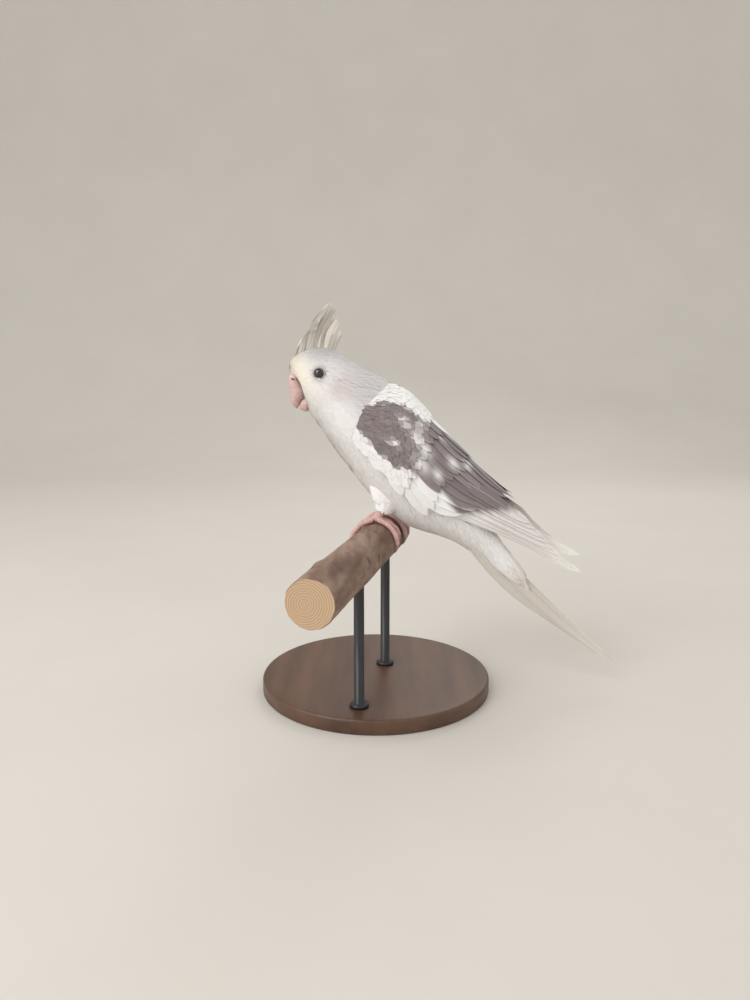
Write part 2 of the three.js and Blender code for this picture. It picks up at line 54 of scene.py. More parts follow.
# Sections of the body as [dorsal x, dorsal z, ventral x, ventral z, half width], in millimetres.
BODY = np.array([
    [-52.4, 201.4, -51.4, 196.6, 2.4],
    [-51.2, 206.0, -43.6, 190.2, 6.8],
    [-46.6, 210.2, -40.4, 177.4, 9.6],
    [-37.5, 213.2, -38.2, 171.6, 11.8],
    [-27.0, 212.6, -32.8, 164.6, 13.0],
    [-17.5, 207.6, -28.2, 157.0, 14.6],
    [-7.0, 200.6, -22.6, 149.0, 18.0],
    [4.0, 195.6, -15.0, 139.0, 21.8],
    [14.0, 188.0, -7.6, 129.5, 24.4],
    [23.0, 178.6, 0.2, 120.6, 25.4],
    [32.0, 167.6, 8.4, 112.6, 24.8],
    [41.0, 155.6, 17.6, 106.0, 23.2],
    [50.0, 142.6, 28.4, 101.8, 20.6],
    [58.0, 129.6, 39.4, 98.4, 17.0],
    [65.0, 117.0, 49.6, 94.2, 13.2],
    [70.5, 106.6, 58.4, 88.6, 9.8],
    [76.0, 98.4, 67.0, 83.0, 7.4],
])
# The folded wing's outer shape and the two parts of the bill, by the same five numbers.
WING_ROWS = np.array([
    [0.0, 193.4, -20.4, 145.6, 22.0],
    [12.0, 190.2, -12.6, 133.4, 25.8],
    [22.5, 181.2, -3.6, 123.2, 27.2],
    [33.0, 170.2, 5.4, 114.8, 26.8],
    [44.0, 158.8, 16.0, 108.0, 24.6],
    [55.0, 147.6, 27.0, 103.5, 21.8],
    [66.0, 136.2, 40.0, 101.5, 18.4],
    [77.0, 125.8, 53.0, 100.0, 14.6],
    [88.0, 116.4, 67.0, 97.0, 11.2],
    [99.0, 107.6, 82.0, 91.5, 8.6],
    [110.0, 98.6, 97.0, 84.5, 6.8],
    [121.0, 89.0, 112.0, 77.0, 5.6],
    [130.5, 79.0, 127.0, 73.0, 4.8],
])
FAR_WING_RAISE = 9
BILL_UPPER = np.array([
    [-51.8, 197.1, -44.5, 191.9, 4.8],
    [-52.8, 193.7, -42.7, 189.1, 5.2],
    [-52.4, 189.7, -41.2, 187.6, 5.0],
    [-52.1, 185.8, -42.6, 184.2, 4.2],
    [-51.7, 182.1, -44.8, 182.5, 3.2],
    [-50.7, 179.1, -46.1, 179.8, 1.9],
    [-48.6, 177.1, -47.8, 177.3, 0.5],
])
BILL_LOWER = np.array([
    [-41.1, 188.1, -39.7, 178.7, 4.8],
    [-42.5, 184.5, -41.6, 175.4, 4.5],
    [-44.9, 182.5, -44.6, 175.8, 3.4],
    [-46.3, 179.5, -46.6, 177.0, 1.5],
])
EYE_X, EYE_Z, EYE_RADIUS = -33.6, 198.2, 3.7
EYE_SUNK = 0.62
LID_RADIUS, LID_THICKNESS, LID_SQUASH = 3.25, 0.48, 1.3
BODY_LAST = len(BODY) - 1
TAIL_ROOT, TAIL_TIP = np.array([62.5, 0, 102.5]), np.array([151.5, 0, 17.4])
CREST_TIP = (-23.5, 237.0)
PERCH_RADIUS, PERCH_AXIS_Z, PERCH_TURN = 12.4, 96, math.radians(13.3)
PERCH_ENDS = (-130, 46)
LEG_SPREAD = 12
BASE_RADIUS, BASE_THICKNESS = 72, 9
ROD_RADIUS, ROD_PLACES = 3, (-42, 26)
# Feathers nearer the bill than this place are sized as those here, because the body closes there.
STEADY_PLACE = 0.6
# The size of one feather's patch on the unwrap of the surface that it grows from.
PATCH = 0.003


# Reading sections and surfaces

def read_along(rows, place):
    """Rows of numbers read at fractional places, on a Catmull-Rom curve."""
    place = np.asarray(place, float)
    last = len(rows) - 1
    i = np.clip(np.floor(place).astype(int), 0, last - 1)
    t = (place - i)[..., None]
    a, b, c, d = (rows[np.clip(i + k, 0, last)] for k in (-1, 0, 1, 2))
    return 0.5 * (2 * b + (c - a) * t + (2 * a - 5 * b + 4 * c - d) * t ** 2
                  + (3 * b - a - 3 * c + d) * t ** 3)


def section_point(rows, place, angle, grow=0.0):
    """A point of an elliptic section, at an angle from its back, grown outward."""
    r = read_along(rows, place)
    middle = (r[..., 0:2] + r[..., 2:4]) / 2
    up = (r[..., 0:2] - r[..., 2:4]) / 2
    depth = np.linalg.norm(up, axis=-1)
    reach = (np.cos(angle) * (depth + grow) / depth)[..., None]
    flat = middle + up * reach
    y = np.sin(angle) * (r[..., 4] + grow)
    return np.stack([flat[..., 0], y, flat[..., 1]], axis=-1)


def body_point(place, angle, grow=0.0):
    return section_point(BODY, place, angle, grow)


def wing_surface(hand):
    """The folded wing's outer surface on one side, as a function of place, angle and height."""
    def point(place, angle, grow=0.0):
        p = section_point(WING_ROWS, place, angle, grow)
        raised = FAR_WING_RAISE * (np.clip(np.asarray(place) - 5, 0, None) / 7) ** 1.5 if hand > 0 else 0.0
        p[..., 1] *= hand
        p[..., 2] += raised
        return p
    return point


def unit(v):
    return v / np.maximum(np.linalg.norm(v, axis=-1, keepdims=True), 1e-9)


def outward_normal(surface, place, angle, grow):
    return unit(surface(place, angle, grow + 1.0) - surface(place, angle, grow))


def smooth_step(low, high, x):
    t = np.clip((x - low) / (high - low), 0, 1)
    return t * t * (3 - 2 * t)


def mix(a, b, t):
    return a + (b - a) * t


def side_of_head():
    """The head's half width where the eye sits, from the nearest point of its sections."""
    place, angle = np.meshgrid(np.linspace(0.2, 4.6, 200), np.linspace(0, math.pi, 180))
    p = body_point(place, angle)
    miss = np.hypot(p[..., 0] - EYE_X, p[..., 2] - EYE_Z)
    return p[..., 1].flat[miss.argmin()]


EYE_Y = side_of_head() - EYE_SUNK * EYE_RADIUS


# Colours, as they look under soft light, turned into linear values

def linear(red, green, blue):
    v = np.array([red, green, blue]) / 255
    return np.where(v <= 0.04045, v / 12.92, ((v + 0.055) / 1.055) ** 2.4)


WHITE = linear(250, 248, 246)
PALE_GREY = linear(220, 215, 215)
COOL_GREY = linear(200, 195, 198)
CREAM = linear(247, 239, 220)
EAR_GREY = linear(208, 196, 191)
EYE_GREY = linear(168, 160, 163)
WING_GREY = linear(134, 119, 119)
WING_DARK = linear(110, 96, 97)
PRIMARY_GREY = linear(234, 228, 225)
PRIMARY_TIP = linear(250, 247, 238)
TAIL_BEIGE = linear(222, 213, 203)
TAIL_SHADE = linear(202, 192, 183)

# The wing's grey patch in side view: its upper and lower edges as x and z.
PATCH_TOP = ([-12, -6, 1, 14, 29, 49, 71, 84], [168, 180, 182.5, 182, 171, 158, 140, 123])
PATCH_LOW = ([-12, -4, 7, 24, 37, 49, 64, 84], [168, 159, 149, 139, 131, 117, 116, 117])
# White flecks in the patch: x, z and radius.
FLECKS = [(15.5, 171.7, 2.4), (25.3, 168.8, 2.2), (23.0, 162.0, 3.2), (28.7, 154.3, 3.4),
          (26.0, 146.5, 4.2), (45.4, 146.0, 2.8), (54.6, 144.2, 2.4), (9.5, 160.0, 1.8), (36.0, 140.0, 2.6)]
# Tinted places of the head and neck: x and z of the middle, and the reach along either.
NECK_PLACE = (-4, 186, 15, 13)
CREAM_PLACE = (-51, 197, 13, 17)
EAR_PLACE = (-21, 190.5, 8.5, 8)


def blend(colour, other, amount):
    return colour + (other - colour) * np.asarray(amount)[..., None]


def nearness(x, z, place):
    """How near points are to the middle of a tinted place, from 1 down to 0."""
    middle_x, middle_z, reach_x, reach_z = place
    return np.exp(-(((x - middle_x) / reach_x) ** 2 + ((z - middle_z) / reach_z) ** 2))


def body_colour(p):
    """The colour of the body's plumage at points in millimetres."""
    x, y, z = p[..., 0], p[..., 1], p[..., 2]
    front = smooth_step(-10, 10, (175 - z) * 0.75 - x * 0.7 - 6)
    colour = blend(PALE_GREY, WHITE, front)
    colour = blend(colour, COOL_GREY, 0.65 * nearness(x, z, NECK_PLACE))
    face = smooth_step(160, 178, z - x * 0.25) * smooth_step(-12, -24, x)
    colour = blend(colour, WHITE, 0.45 * face)
    colour = blend(colour, CREAM, np.clip(1.15 * nearness(x, z, CREAM_PLACE), 0, 1))
    colour = blend(colour, EAR_GREY, 0.8 * nearness(x, z, EAR_PLACE) * smooth_step(4, 9, np.abs(y)))
    crown = smooth_step(200, 212, z) * smooth_step(4, -12, x) * smooth_step(-48, -34, x)
    colour = blend(colour, COOL_GREY, 0.6 * crown)
    ring = np.exp(-((np.hypot(x - EYE_X, z - EYE_Z) - 3.4) / 2.4) ** 2)
    return blend(colour, EYE_GREY, 0.5 * ring * smooth_step(5, 9, np.abs(y)))


def patch_share(x, z, wander):
    """How far a place of the wing lies in its grey patch, from 0 to 1, with a wandering edge."""
    below = np.interp(x, *PATCH_TOP) - z + wander
    above = z - np.interp(x, *PATCH_LOW) + wander
    share = smooth_step(-1.2, 1.6, below) * smooth_step(-2.0, 2.0, above)
    share = share * smooth_step(-13, -10, x) * smooth_step(87, 84, x)
    for fx, fz, radius in FLECKS:
        along = (x - fx) * 0.62 - (z - fz) * 0.78
        across = (x - fx) * 0.78 + (z - fz) * 0.62
        share = share * (1 - 0.85 * np.exp(-((along / (1.7 * radius)) ** 2 + (across / radius) ** 2) * 1.4))
    return share


def wing_colour(p, wander=0.0, tone=0.0):
    """The colour of the wing at points: pale, with the grey patch."""
    x, z = p[..., 0], p[..., 2]
    pale = blend(WHITE, PRIMARY_GREY, smooth_step(55, 80, x))
    pale = blend(pale, PRIMARY_TIP, smooth_step(102, 118, x))
    grey = blend(WING_GREY, WING_DARK, 0.5 + 0.5 * np.asarray(tone))
    return blend(pale, grey, 0.94 * patch_share(x, z, wander))


# Meshes

def placed(name, data):
    made = bpy.data.objects.new(name, data)
    bpy.context.scene.collection.objects.link(made)
    return made


def new_object(name, vertices, faces):
    """A smooth object from points in millimetres."""
    mesh = bpy.data.meshes.new(name)
    mesh.from_pydata((np.asarray(vertices) * MM).tolist(), [], [list(f) for f in faces])
    mesh.update()
    mesh.shade_smooth()
    return placed(name, mesh)


def set_colour(piece, colours):
    layer = piece.data.color_attributes.new("Plumage", "FLOAT_COLOR", "POINT")
    full = np.ones((len(colours), 4), np.float32)
    full[:, :3] = np.clip(colours, 0, 1)
    layer.data.foreach_set("color", full.ravel())


def set_uv(piece, name, per_vertex):
    layer = piece.data.uv_layers.new(name=name)
    loops = np.empty(len(piece.data.loops), np.int32)
    piece.data.loops.foreach_get("vertex_index", loops)
    layer.data.foreach_set("uv", per_vertex[loops].astype(np.float32).ravel())


def ring_faces(count, sides, closed=False):
    """Faces between rings of points; closed joins the last ring to the first."""
    faces = []
    for r in range(count if closed else count - 1):
        near, far = r * sides, (r + 1) % count * sides
        faces += [(near + c, near + (c + 1) % sides, far + (c + 1) % sides, far + c) for c in range(sides)]
    return faces


def closed_tube(name, rings):
    """A closed mesh from rings of equal point counts, with a fan at either end."""
    rings = np.asarray(rings)
    count, sides = rings.shape[:2]
    vertices = list(rings.reshape(-1, 3)) + [rings[0].mean(axis=0), rings[-1].mean(axis=0)]
    first, last = count * sides, count * sides + 1
    faces = ring_faces(count, sides)
    for c in range(sides):
        d = (c + 1) % sides
        faces.append((first, d, c))
        faces.append((last, (count - 1) * sides + c, (count - 1) * sides + d))
    piece = new_object(name, vertices, faces)
    face_outward(piece)
    return piece


def face_outward(piece):
    """Turns the faces of a closed mesh over where they enclose a negative volume."""
    mesh = piece.data
    mesh.calc_loop_triangles()
    volume = 0.0
    for triangle in mesh.loop_triangles:
        a, b, c = (mesh.vertices[i].co for i in triangle.vertices)
        volume += a.dot(b.cross(c))
    if volume < 0:
        mesh.flip_normals()


def apply_modifier(piece, kind, **values):
    bpy.context.view_layer.objects.active = piece
    change = piece.modifiers.new(kind, kind)
    for key, value in values.items():
        setattr(change, key, value)
    bpy.ops.object.modifier_apply(modifier=change.name)


def joined(name, parts, voxel):
    """One closed mesh round several overlapping ones, made anew with faces of about one size."""
    bpy.ops.object.select_all(action="DESELECT")
    for part in parts:
        part.select_set(True)
    whole = parts[0]
    bpy.context.view_layer.objects.active = whole
    bpy.ops.object.join()
    whole.name = name
    apply_modifier(whole, "REMESH", mode="VOXEL", voxel_size=voxel * MM)
    return whole


def carve(piece, cutter):
    """Cuts one mesh out of another and removes it."""
    apply_modifier(piece, "BOOLEAN", operation="DIFFERENCE", solver="EXACT", object=cutter)
    bpy.data.objects.remove(cutter)


def vane_faces(steps, columns):
    """Faces of one vane: a top grid, and a bottom grid that shares its border."""
    top = np.arange(steps * columns).reshape(steps, columns)
    bottom = top.copy()
    inner = (steps - 2) * (columns - 2)
    bottom[1:-1, 1:-1] = steps * columns + np.arange(inner).reshape(steps - 2, columns - 2)
    faces = []
    for s in range(steps - 1):
        for c in range(columns - 1):
            faces.append((top[s, c], top[s, c + 1], top[s + 1, c + 1], top[s + 1, c]))
            faces.append((bottom[s, c], bottom[s + 1, c], bottom[s + 1, c + 1], bottom[s, c + 1]))
    return np.array(faces)


def sharpen_borders(piece, steps, columns, each):
    """Marks each vane's border as sharp, so that its upper face is shaded apart from its lower one."""
    row, column = np.divmod(np.arange(steps * columns), columns)
    border = np.zeros(each, bool)
    border[:steps * columns] = (row == 0) | (row == steps - 1) | (column == 0) | (column == columns - 1)
    ends = np.empty(len(piece.data.edges) * 2, np.int32)
    piece.data.edges.foreach_get("vertices", ends)
    sharp = border[ends.reshape(-1, 2) % each].all(axis=1)
    piece.data.attributes.new("sharp_edge", "BOOLEAN", "EDGE").data.foreach_set("value", sharp)


def with_lower(upper, lower):
    """Values of the upper faces of vanes, and then of the inner points of their lower faces."""
    count, width = len(upper), upper.shape[-1]
    inner = lower[:, 1:-1, 1:-1]
    return np.concatenate([upper.reshape(count, -1, width), inner.reshape(count, -1, width)], axis=1)


def vanes(name, centre, side, out, half, thickness, camber, colour, chart, columns, soft):
    """One joined mesh of many vanes.

    centre, side, out and soft are arrays of feathers by steps by 3, half is feathers by steps, chart is the
    place of each root on the unwrap of the surface it grows from, colour gives colours of points, and soft is
    the normal of that surface, which evens the light on feathers that lie together.
    """
    count, steps = half.shape
    c = np.linspace(-1, 1, columns)
    reach = half[..., None] * c
    drop = -camber * half[..., None] * c ** 2
    top = centre[:, :, None] + side[:, :, None] * reach[..., None] + out[:, :, None] * drop[..., None]
    thick = thickness * (1 - c ** 2)[None, None, :, None]
    points = with_lower(top, top - out[:, :, None] * thick)
    each = points.shape[1]
    faces = (vane_faces(steps, columns)[None] + (np.arange(count) * each)[:, None, None]).reshape(-1, 4)
    local = np.stack(np.meshgrid(c, np.linspace(0, 1, steps)), axis=-1)[None]
    local = with_lower(local, local)[0]
    piece = new_object(name, points.reshape(-1, 3), faces)
    set_colour(piece, np.broadcast_to(colour(points, local), points.shape).reshape(-1, 3))
    sharpen_borders(piece, steps, columns, each)
    spread = np.broadcast_to(soft[:, :, None], top.shape)
    lie = piece.data.attributes.new("Lie", "FLOAT_VECTOR", "POINT")
    lie.data.foreach_set("vector", with_lower(spread, spread).astype(np.float32).ravel())
    patch = chart[:, None] + (local * [0.5, 1] - [0, 0.5])[None] * PATCH
    set_uv(piece, "OFBake", patch.reshape(-1, 2))
    set_uv(piece, "Vane", np.broadcast_to(local, (count, each, 2)).reshape(-1, 2) * 0.5 + 0.5)
    return piece


def on_chart(along, round_it):
    """A place on the unwrap of a surface, from shares of its length and its girth, kept off the border."""
    return np.stack([0.02 + 0.96 * along, 0.02 + 0.96 * round_it], axis=-1)


# Materials

class Surface:
    """A material's nodes. Each value of a node is a number, a vector or the output that feeds it."""

    def __init__(self, name, roughness, values=None):
        self.material = bpy.data.materials.new(name)
        self.material.use_nodes = True
        self.tree = self.material.node_tree
        self.shader = self.tree.nodes["Principled BSDF"]
        self.give(self.shader, {"Roughness": roughness, **(values or {})})

    def give(self, target, values):
        for key, value in values.items():
            if isinstance(value, bpy.types.NodeSocket):
                self.tree.links.new(value, target.inputs[key])
            else:
                target.inputs[key].default_value = value

    def add(self, kind, values=None, **settings):
        made = self.tree.nodes.new("ShaderNode" + kind)
        for key, setting in settings.items():
            setattr(made, key, setting)
        self.give(made, values or {})
        return made.outputs

    def number(self, operation, *values):
        return self.add("Math", dict(enumerate(values)), operation=operation)[0]

    def vector(self, operation, values, output="Vector"):
        return self.add("VectorMath", values, operation=operation)[output]

    def attribute(self, name, output):
        return self.add("Attribute", attribute_name=name)[output]

    def place(self, **values):
        """Places on the object in metres, moved, turned or stretched."""
        here = self.add("TexCoord")["Object"]
        return self.add("Mapping", {"Vector": here, **values})["Vector"] if values else here

    def noise(self, scale, detail, roughness=0.5, **values):
        texture = {"Vector": self.place(**values), "Scale": scale, "Detail": detail, "Roughness": roughness}
        return self.add("TexNoise", texture)["Fac"]

    def cells(self, scale):
        return self.add("TexVoronoi", {"Vector": self.place(), "Scale": scale})["Distance"]

    def ramp(self, source, stops):
        made = self.add("ValToRGB", {"Fac": source})["Color"]
        elements = made.node.color_ramp.elements
        while len(elements) < len(stops):
            elements.new(0.5)
        for element, (position, colour) in zip(elements, stops):
            element.position = position
            element.color = (*colour, 1)
        return made

    def multiply(self, base, factor, amount):
        return self.add("Mix", {"Factor": amount, "A": base, "B": factor},
                        data_type="RGBA", blend_type="MULTIPLY")["Result"]

    def paint(self, colour):
        self.give(self.shader, {"Base Color": colour})

    def relief(self, height, strength, distance, **values):
        made = self.add("Bump", {"Height": height, "Strength": strength, "Distance": distance, **values})
        self.give(self.shader, {"Normal": made["Normal"]})


def tones(dark, light, low=0.3, high=0.7):
    """Stops of a ramp between two colours."""
    return [(low, linear(*dark)), (high, linear(*light))]


def plumage_material(name, barbs, barb_depth, evenness):
    """Feathers: the markings, fine slanting barbs on either side of the shaft, and soft variation.

    evenness is how far the shading follows the surface that the feathers lie on.
    """
    made = Surface(name, 0.82, {"Sheen Weight": 0.2, "Sheen Roughness": 0.7, "Specular IOR Level": 0.2})
    vane = made.add("SeparateXYZ", {"Vector": made.add("UVMap", uv_map="Vane")["UV"]})
    away = made.number("ABSOLUTE", made.number("SUBTRACT", vane["X"], 0.5))
    slant = made.number("MULTIPLY_ADD", away, -0.55, vane["Y"])
    wave = made.number("SINE", made.number("MULTIPLY", slant, barbs * 2 * math.pi))
    lines = made.ramp(wave, [(0.0, (0.95, 0.95, 0.95)), (0.6, (1, 1, 1))])
    soft = made.ramp(made.noise(420, 4), [(0.3, (0.95, 0.945, 0.945)), (0.65, (1, 1, 1))])
    marked = made.multiply(made.attribute("Plumage", "Color"), lines, 0.7)
    made.paint(made.multiply(marked, soft, 0.8))
    lie = made.add("VectorTransform", {"Vector": made.attribute("Lie", "Vector")}, vector_type="NORMAL",
                   convert_from="OBJECT", convert_to="WORLD")["Vector"]
    shape = made.add("NewGeometry")["Normal"]
    same_way = made.number("SIGN", made.vector("DOT_PRODUCT", {0: shape, 1: lie}, "Value"))
    upward = made.vector("SCALE", {0: lie, "Scale": same_way})
    even = made.add("Mix", {"Factor": evenness, "A": shape, "B": upward}, data_type="VECTOR")["Result"]
    made.relief(wave, barb_depth, 0.0001, Normal=made.vector("NORMALIZE", {0: even}))
    return made.material


def skin_material():
    made = Surface("skin_down", 0.9)
    down = made.noise(900, 5)
    soft = made.ramp(down, [(0.3, (0.86, 0.85, 0.85)), (0.7, (1, 1, 1))])
    made.paint(made.multiply(made.attribute("Plumage", "Color"), soft, 0.8))
    made.relief(down, 0.5, 0.0004)
    return made.material


def noise_surface(name, roughness, stops, scale, depth, stretch=(1, 1, 1), distance=0.0002, turn=0.0,
                  values=None):
    """A surface whose colour and relief follow one noise, which may be stretched along an axis."""
    made = Surface(name, roughness, values)
    grain = made.noise(scale, 6, 0.6, Rotation=(0, 0, turn), Scale=stretch)
    made.paint(made.ramp(grain, stops))
    made.relief(grain, depth, distance)
    return made


def horn_material(name, light, dark, scale):
    flesh = {"Subsurface Weight": 0.12, "Subsurface Radius": (0.002, 0.001, 0.0008)}
    return noise_surface(name, 0.36, tones(dark, light), scale, 0.12, (1, 1, 2.5), 0.0001,
                         values=flesh).material


def eye_material():
    made = Surface("eye_gloss", 0.06, {"Coat Weight": 0.8, "Coat Roughness": 0.03})
    made.paint(made.ramp(made.noise(700, 2), [(0.35, (0.004, 0.003, 0.003)), (0.8, (0.02, 0.012, 0.01))]))
    return made.material


def foot_material():
    """Pink skin covered in small scales."""
    flesh = {"Subsurface Weight": 0.1, "Subsurface Radius": (0.002, 0.0008, 0.0006)}
    made = Surface("foot_scales", 0.55, flesh)
    scales = made.cells(1500)
    made.paint(made.ramp(scales, tones((222, 188, 181), (196, 152, 146), 0.1, 0.75)))
    made.relief(scales, -0.5, 0.0002)
    return made.material


def bark_material():
    """A worn branch: brown mottling drawn out along it, with dark knots."""
    stops = [*tones((84, 62, 52), (126, 100, 86), 0.25, 0.45),
             *tones((158, 134, 118), (188, 168, 152), 0.62, 0.85)]
    made = noise_surface("bark", 0.88, stops, 95, 0.6, (1, 0.22, 1), 0.0006, PERCH_TURN)
    dark = made.ramp(made.cells(62), [(0.1, linear(70, 50, 44)), (0.2, (1, 1, 1))])
    base = made.shader.inputs["Base Color"].links[0].from_socket
    made.paint(made.multiply(base, dark, 0.55))
    return made.material


def cut_wood_material():
    """The sawn ends of the branch: growth rings round its axis."""
    made = Surface("cut_wood", 0.8)
    level = made.place(Location=(0, 0, -PERCH_AXIS_Z * MM))
    turned = made.add("Mapping", {"Vector": level, "Rotation": (0, 0, PERCH_TURN)})["Vector"]
    rings = made.add("TexWave", {"Vector": turned, "Scale": 260, "Distortion": 2.2, "Detail": 3},
                     wave_type="RINGS", rings_direction="Y")["Fac"]
    made.paint(made.ramp(rings, tones((176, 146, 116), (198, 170, 138), 0.1, 0.9)))
    made.relief(rings, 0.2, 0.0003)
    return made.material


COAT = plumage_material("plumage_fine", barbs=7, barb_depth=0.15, evenness=0.74)
VANES = plumage_material("plumage_vanes", barbs=60, barb_depth=0.1, evenness=0.72)
SKIN = skin_material()
BILL = horn_material("bill_horn", (214, 184, 178), (194, 158, 153), 260)
CLAW = horn_material("claw_horn", (190, 160, 150), (140, 112, 106), 500)
CERE = noise_surface("cere_flesh", 0.5, tones((218, 176, 171), (232, 200, 193)), 600, 0.3).material
# The nostril's dark flesh colour is partly painted shade: it stands for the shade inside the opening.
NOSTRIL = noise_surface("nostril", 0.7, tones((120, 72, 72), (150, 98, 96)), 900, 0.3).material
LID = noise_surface("eye_lid", 0.6, tones((148, 141, 141), (184, 177, 177)), 1500, 0.5).material
EYE = eye_material()
FOOT = foot_material()
BARK = bark_material()
CUT_WOOD = cut_wood_material()
STAND_WOOD = noise_surface("stand_wood", 0.42, tones((70, 48, 36), (104, 74, 56)), 60, 0.15,
                           (1, 0.12, 1)).material
STAND_METAL = noise_surface("stand_metal", 0.38, tones((52, 52, 53), (66, 66, 67)), 900, 0.1, (1, 1, 0.1),
                            values={"Metallic": 0.6}).material
FLOOR_PAINT = noise_surface("floor_paint", 0.75, tones((210, 205, 197), (214, 209, 202)), 6, 0.05).material


def finish(piece, slot, *materials, replaces=()):
    """Gives a piece its materials and body, and hides the solids that it stands for; slot is not used."""
    for used in materials:
        piece.data.materials.append(used)
    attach(piece, BODY_NAME)
    if replaces:
        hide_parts(*replaces)
    return piece


# The perch's own directions and points round it

ALONG = np.array([math.sin(PERCH_TURN), math.cos(PERCH_TURN), 0])
ACROSS = np.array([math.cos(PERCH_TURN), -math.sin(PERCH_TURN), 0])
UP = np.array([0, 0, 1.0])


def round_perch(distance, angle, radius):
    start = np.array([0, -LEG_SPREAD, PERCH_AXIS_Z])
    distance, angle, radius = (np.asarray(v, float)[..., None] for v in (distance, angle, radius))
    return start + ALONG * distance + ACROSS * np.cos(angle) * radius + UP * np.sin(angle) * radius


def leg_place(hand):
    return 0 if hand < 0 else 2 * LEG_SPREAD / math.cos(PERCH_TURN)


def thigh_surface(hand):
    place = round_perch(leg_place(hand), math.pi / 2, 0)
    rows = np.array([
        [place[0] - 5, 132, place[0] + 18, 127, 6.5],
        [place[0] - 3, 124, place[0] + 15, 119, 6.0],
        [place[0] + 0.5, 117, place[0] + 9.5, 114.5, 4.0],
    ])

    def point(along, angle, grow=0.0):
        p = section_point(rows, along, angle, grow)
        p[..., 1] += place[1]
        return p
    return point


# The skin

def coat_depth(place):
    """How deep the coat lies over the skin: thin on the face, deeper on the breast and belly."""
    return mix(0.22, 0.42, smooth_step(0.5, 9, np.asarray(place, float)))


def full_turn(sides):
    return np.linspace(0, 2 * math.pi, sides, endpoint=False)


def rings_of(surface, low, high, steps, sides, grow):
    """Rings of points on a surface; grow is a height on it, or gives one for each place."""
    place, angle = np.meshgrid(np.linspace(low, high, steps), full_turn(sides), indexing="ij")
    return surface(place, angle, grow(place) if callable(grow) else grow)


def wing_height(place):
    """How high the wing's coverts lie on its envelope: rising from the shoulder over the first places."""
    return mix(-0.6, 4.0, smooth_step(-0.3, 2.0, np.asarray(place, float)))


CORE_STEPS, CORE_POINTS = 16, 14
CORE_INSIDE, CORE_EDGE = -2.4, -1.6


def wing_core(hand):
    """The wing's flesh: a thin plate on its envelope, hidden under the feathers."""
    surface = wing_surface(hand)
    arch = np.sin(np.linspace(0.25, 2.9, CORE_POINTS)) ** 0.5
    rings = []
    for t in np.linspace(0, 1, CORE_STEPS):
        place = np.full(CORE_POINTS, mix(0.3, 5.0, t))
        angle = np.radians(np.linspace(22, 100 - 6 * t, CORE_POINTS))
        thick = np.clip(wing_height(place) - 0.9, -0.9, 2.4)
        outer = surface(place, angle, mix(CORE_EDGE, thick, arch))
        inner = surface(place, angle, CORE_INSIDE)
        rings.append(np.concatenate([outer, inner[::-1]]))
    return closed_tube(f"wing_core_{hand}", rings)


def under_coat(place):
    """The skin's height on the body: under the coat, and drawn in where the bill covers it."""
    return -coat_depth(place) - 0.15 - smooth_step(0.6, 0, place)


def make_skin():
    parts = [closed_tube("trunk", rings_of(body_point, 0, BODY_LAST, 110, 72, under_coat))]
    for hand in (-1, 1):
        parts.append(wing_core(hand))
        parts.append(closed_tube("thigh", rings_of(thigh_surface(hand), 0, 2, 14, 24, -0.8)))
    skin = joined("skin", parts, 0.8)
    apply_modifier(skin, "SMOOTH", factor=0.5, iterations=4)
    skin.data.shade_smooth()
    points = np.empty(len(skin.data.vertices) * 3)
    skin.data.vertices.foreach_get("co", points)
    set_colour(skin, body_colour(points.reshape(-1, 3) / MM))
    return finish(skin, "plumage", SKIN, replaces=(
        "head", "neck", "torso", "tail", "thigh_left", "thigh_right", "wing_left", "wing_right"))


# The coat of small feathers

SMALL_THICKNESS, SMALL_CAMBER, SMALL_COLUMNS = 0.08, 0.08, 3
# A small feather's outline: places along it, and its share of the full width there.
SMALL_OUTLINE = ([0, 0.35, 0.75, 1], [0.6, 1.0, 0.86, 0.2])
SIDE_ANGLE = 1.2


def coat_rows(low, high, spacing, surface=body_point):
    """Places of rows of feathers, a spacing apart along the side of a surface.

    spacing is read at each place.
    """
    places = [low]
    while places[-1] < high:
        here = places[-1]
        near = surface(max(here, STEADY_PLACE) + np.array([0, 0.05]), np.full(2, SIDE_ANGLE))
        scale = np.linalg.norm(near[1] - near[0]) / 0.05
        places.append(here + spacing(here) / scale)
    return places[:-1]


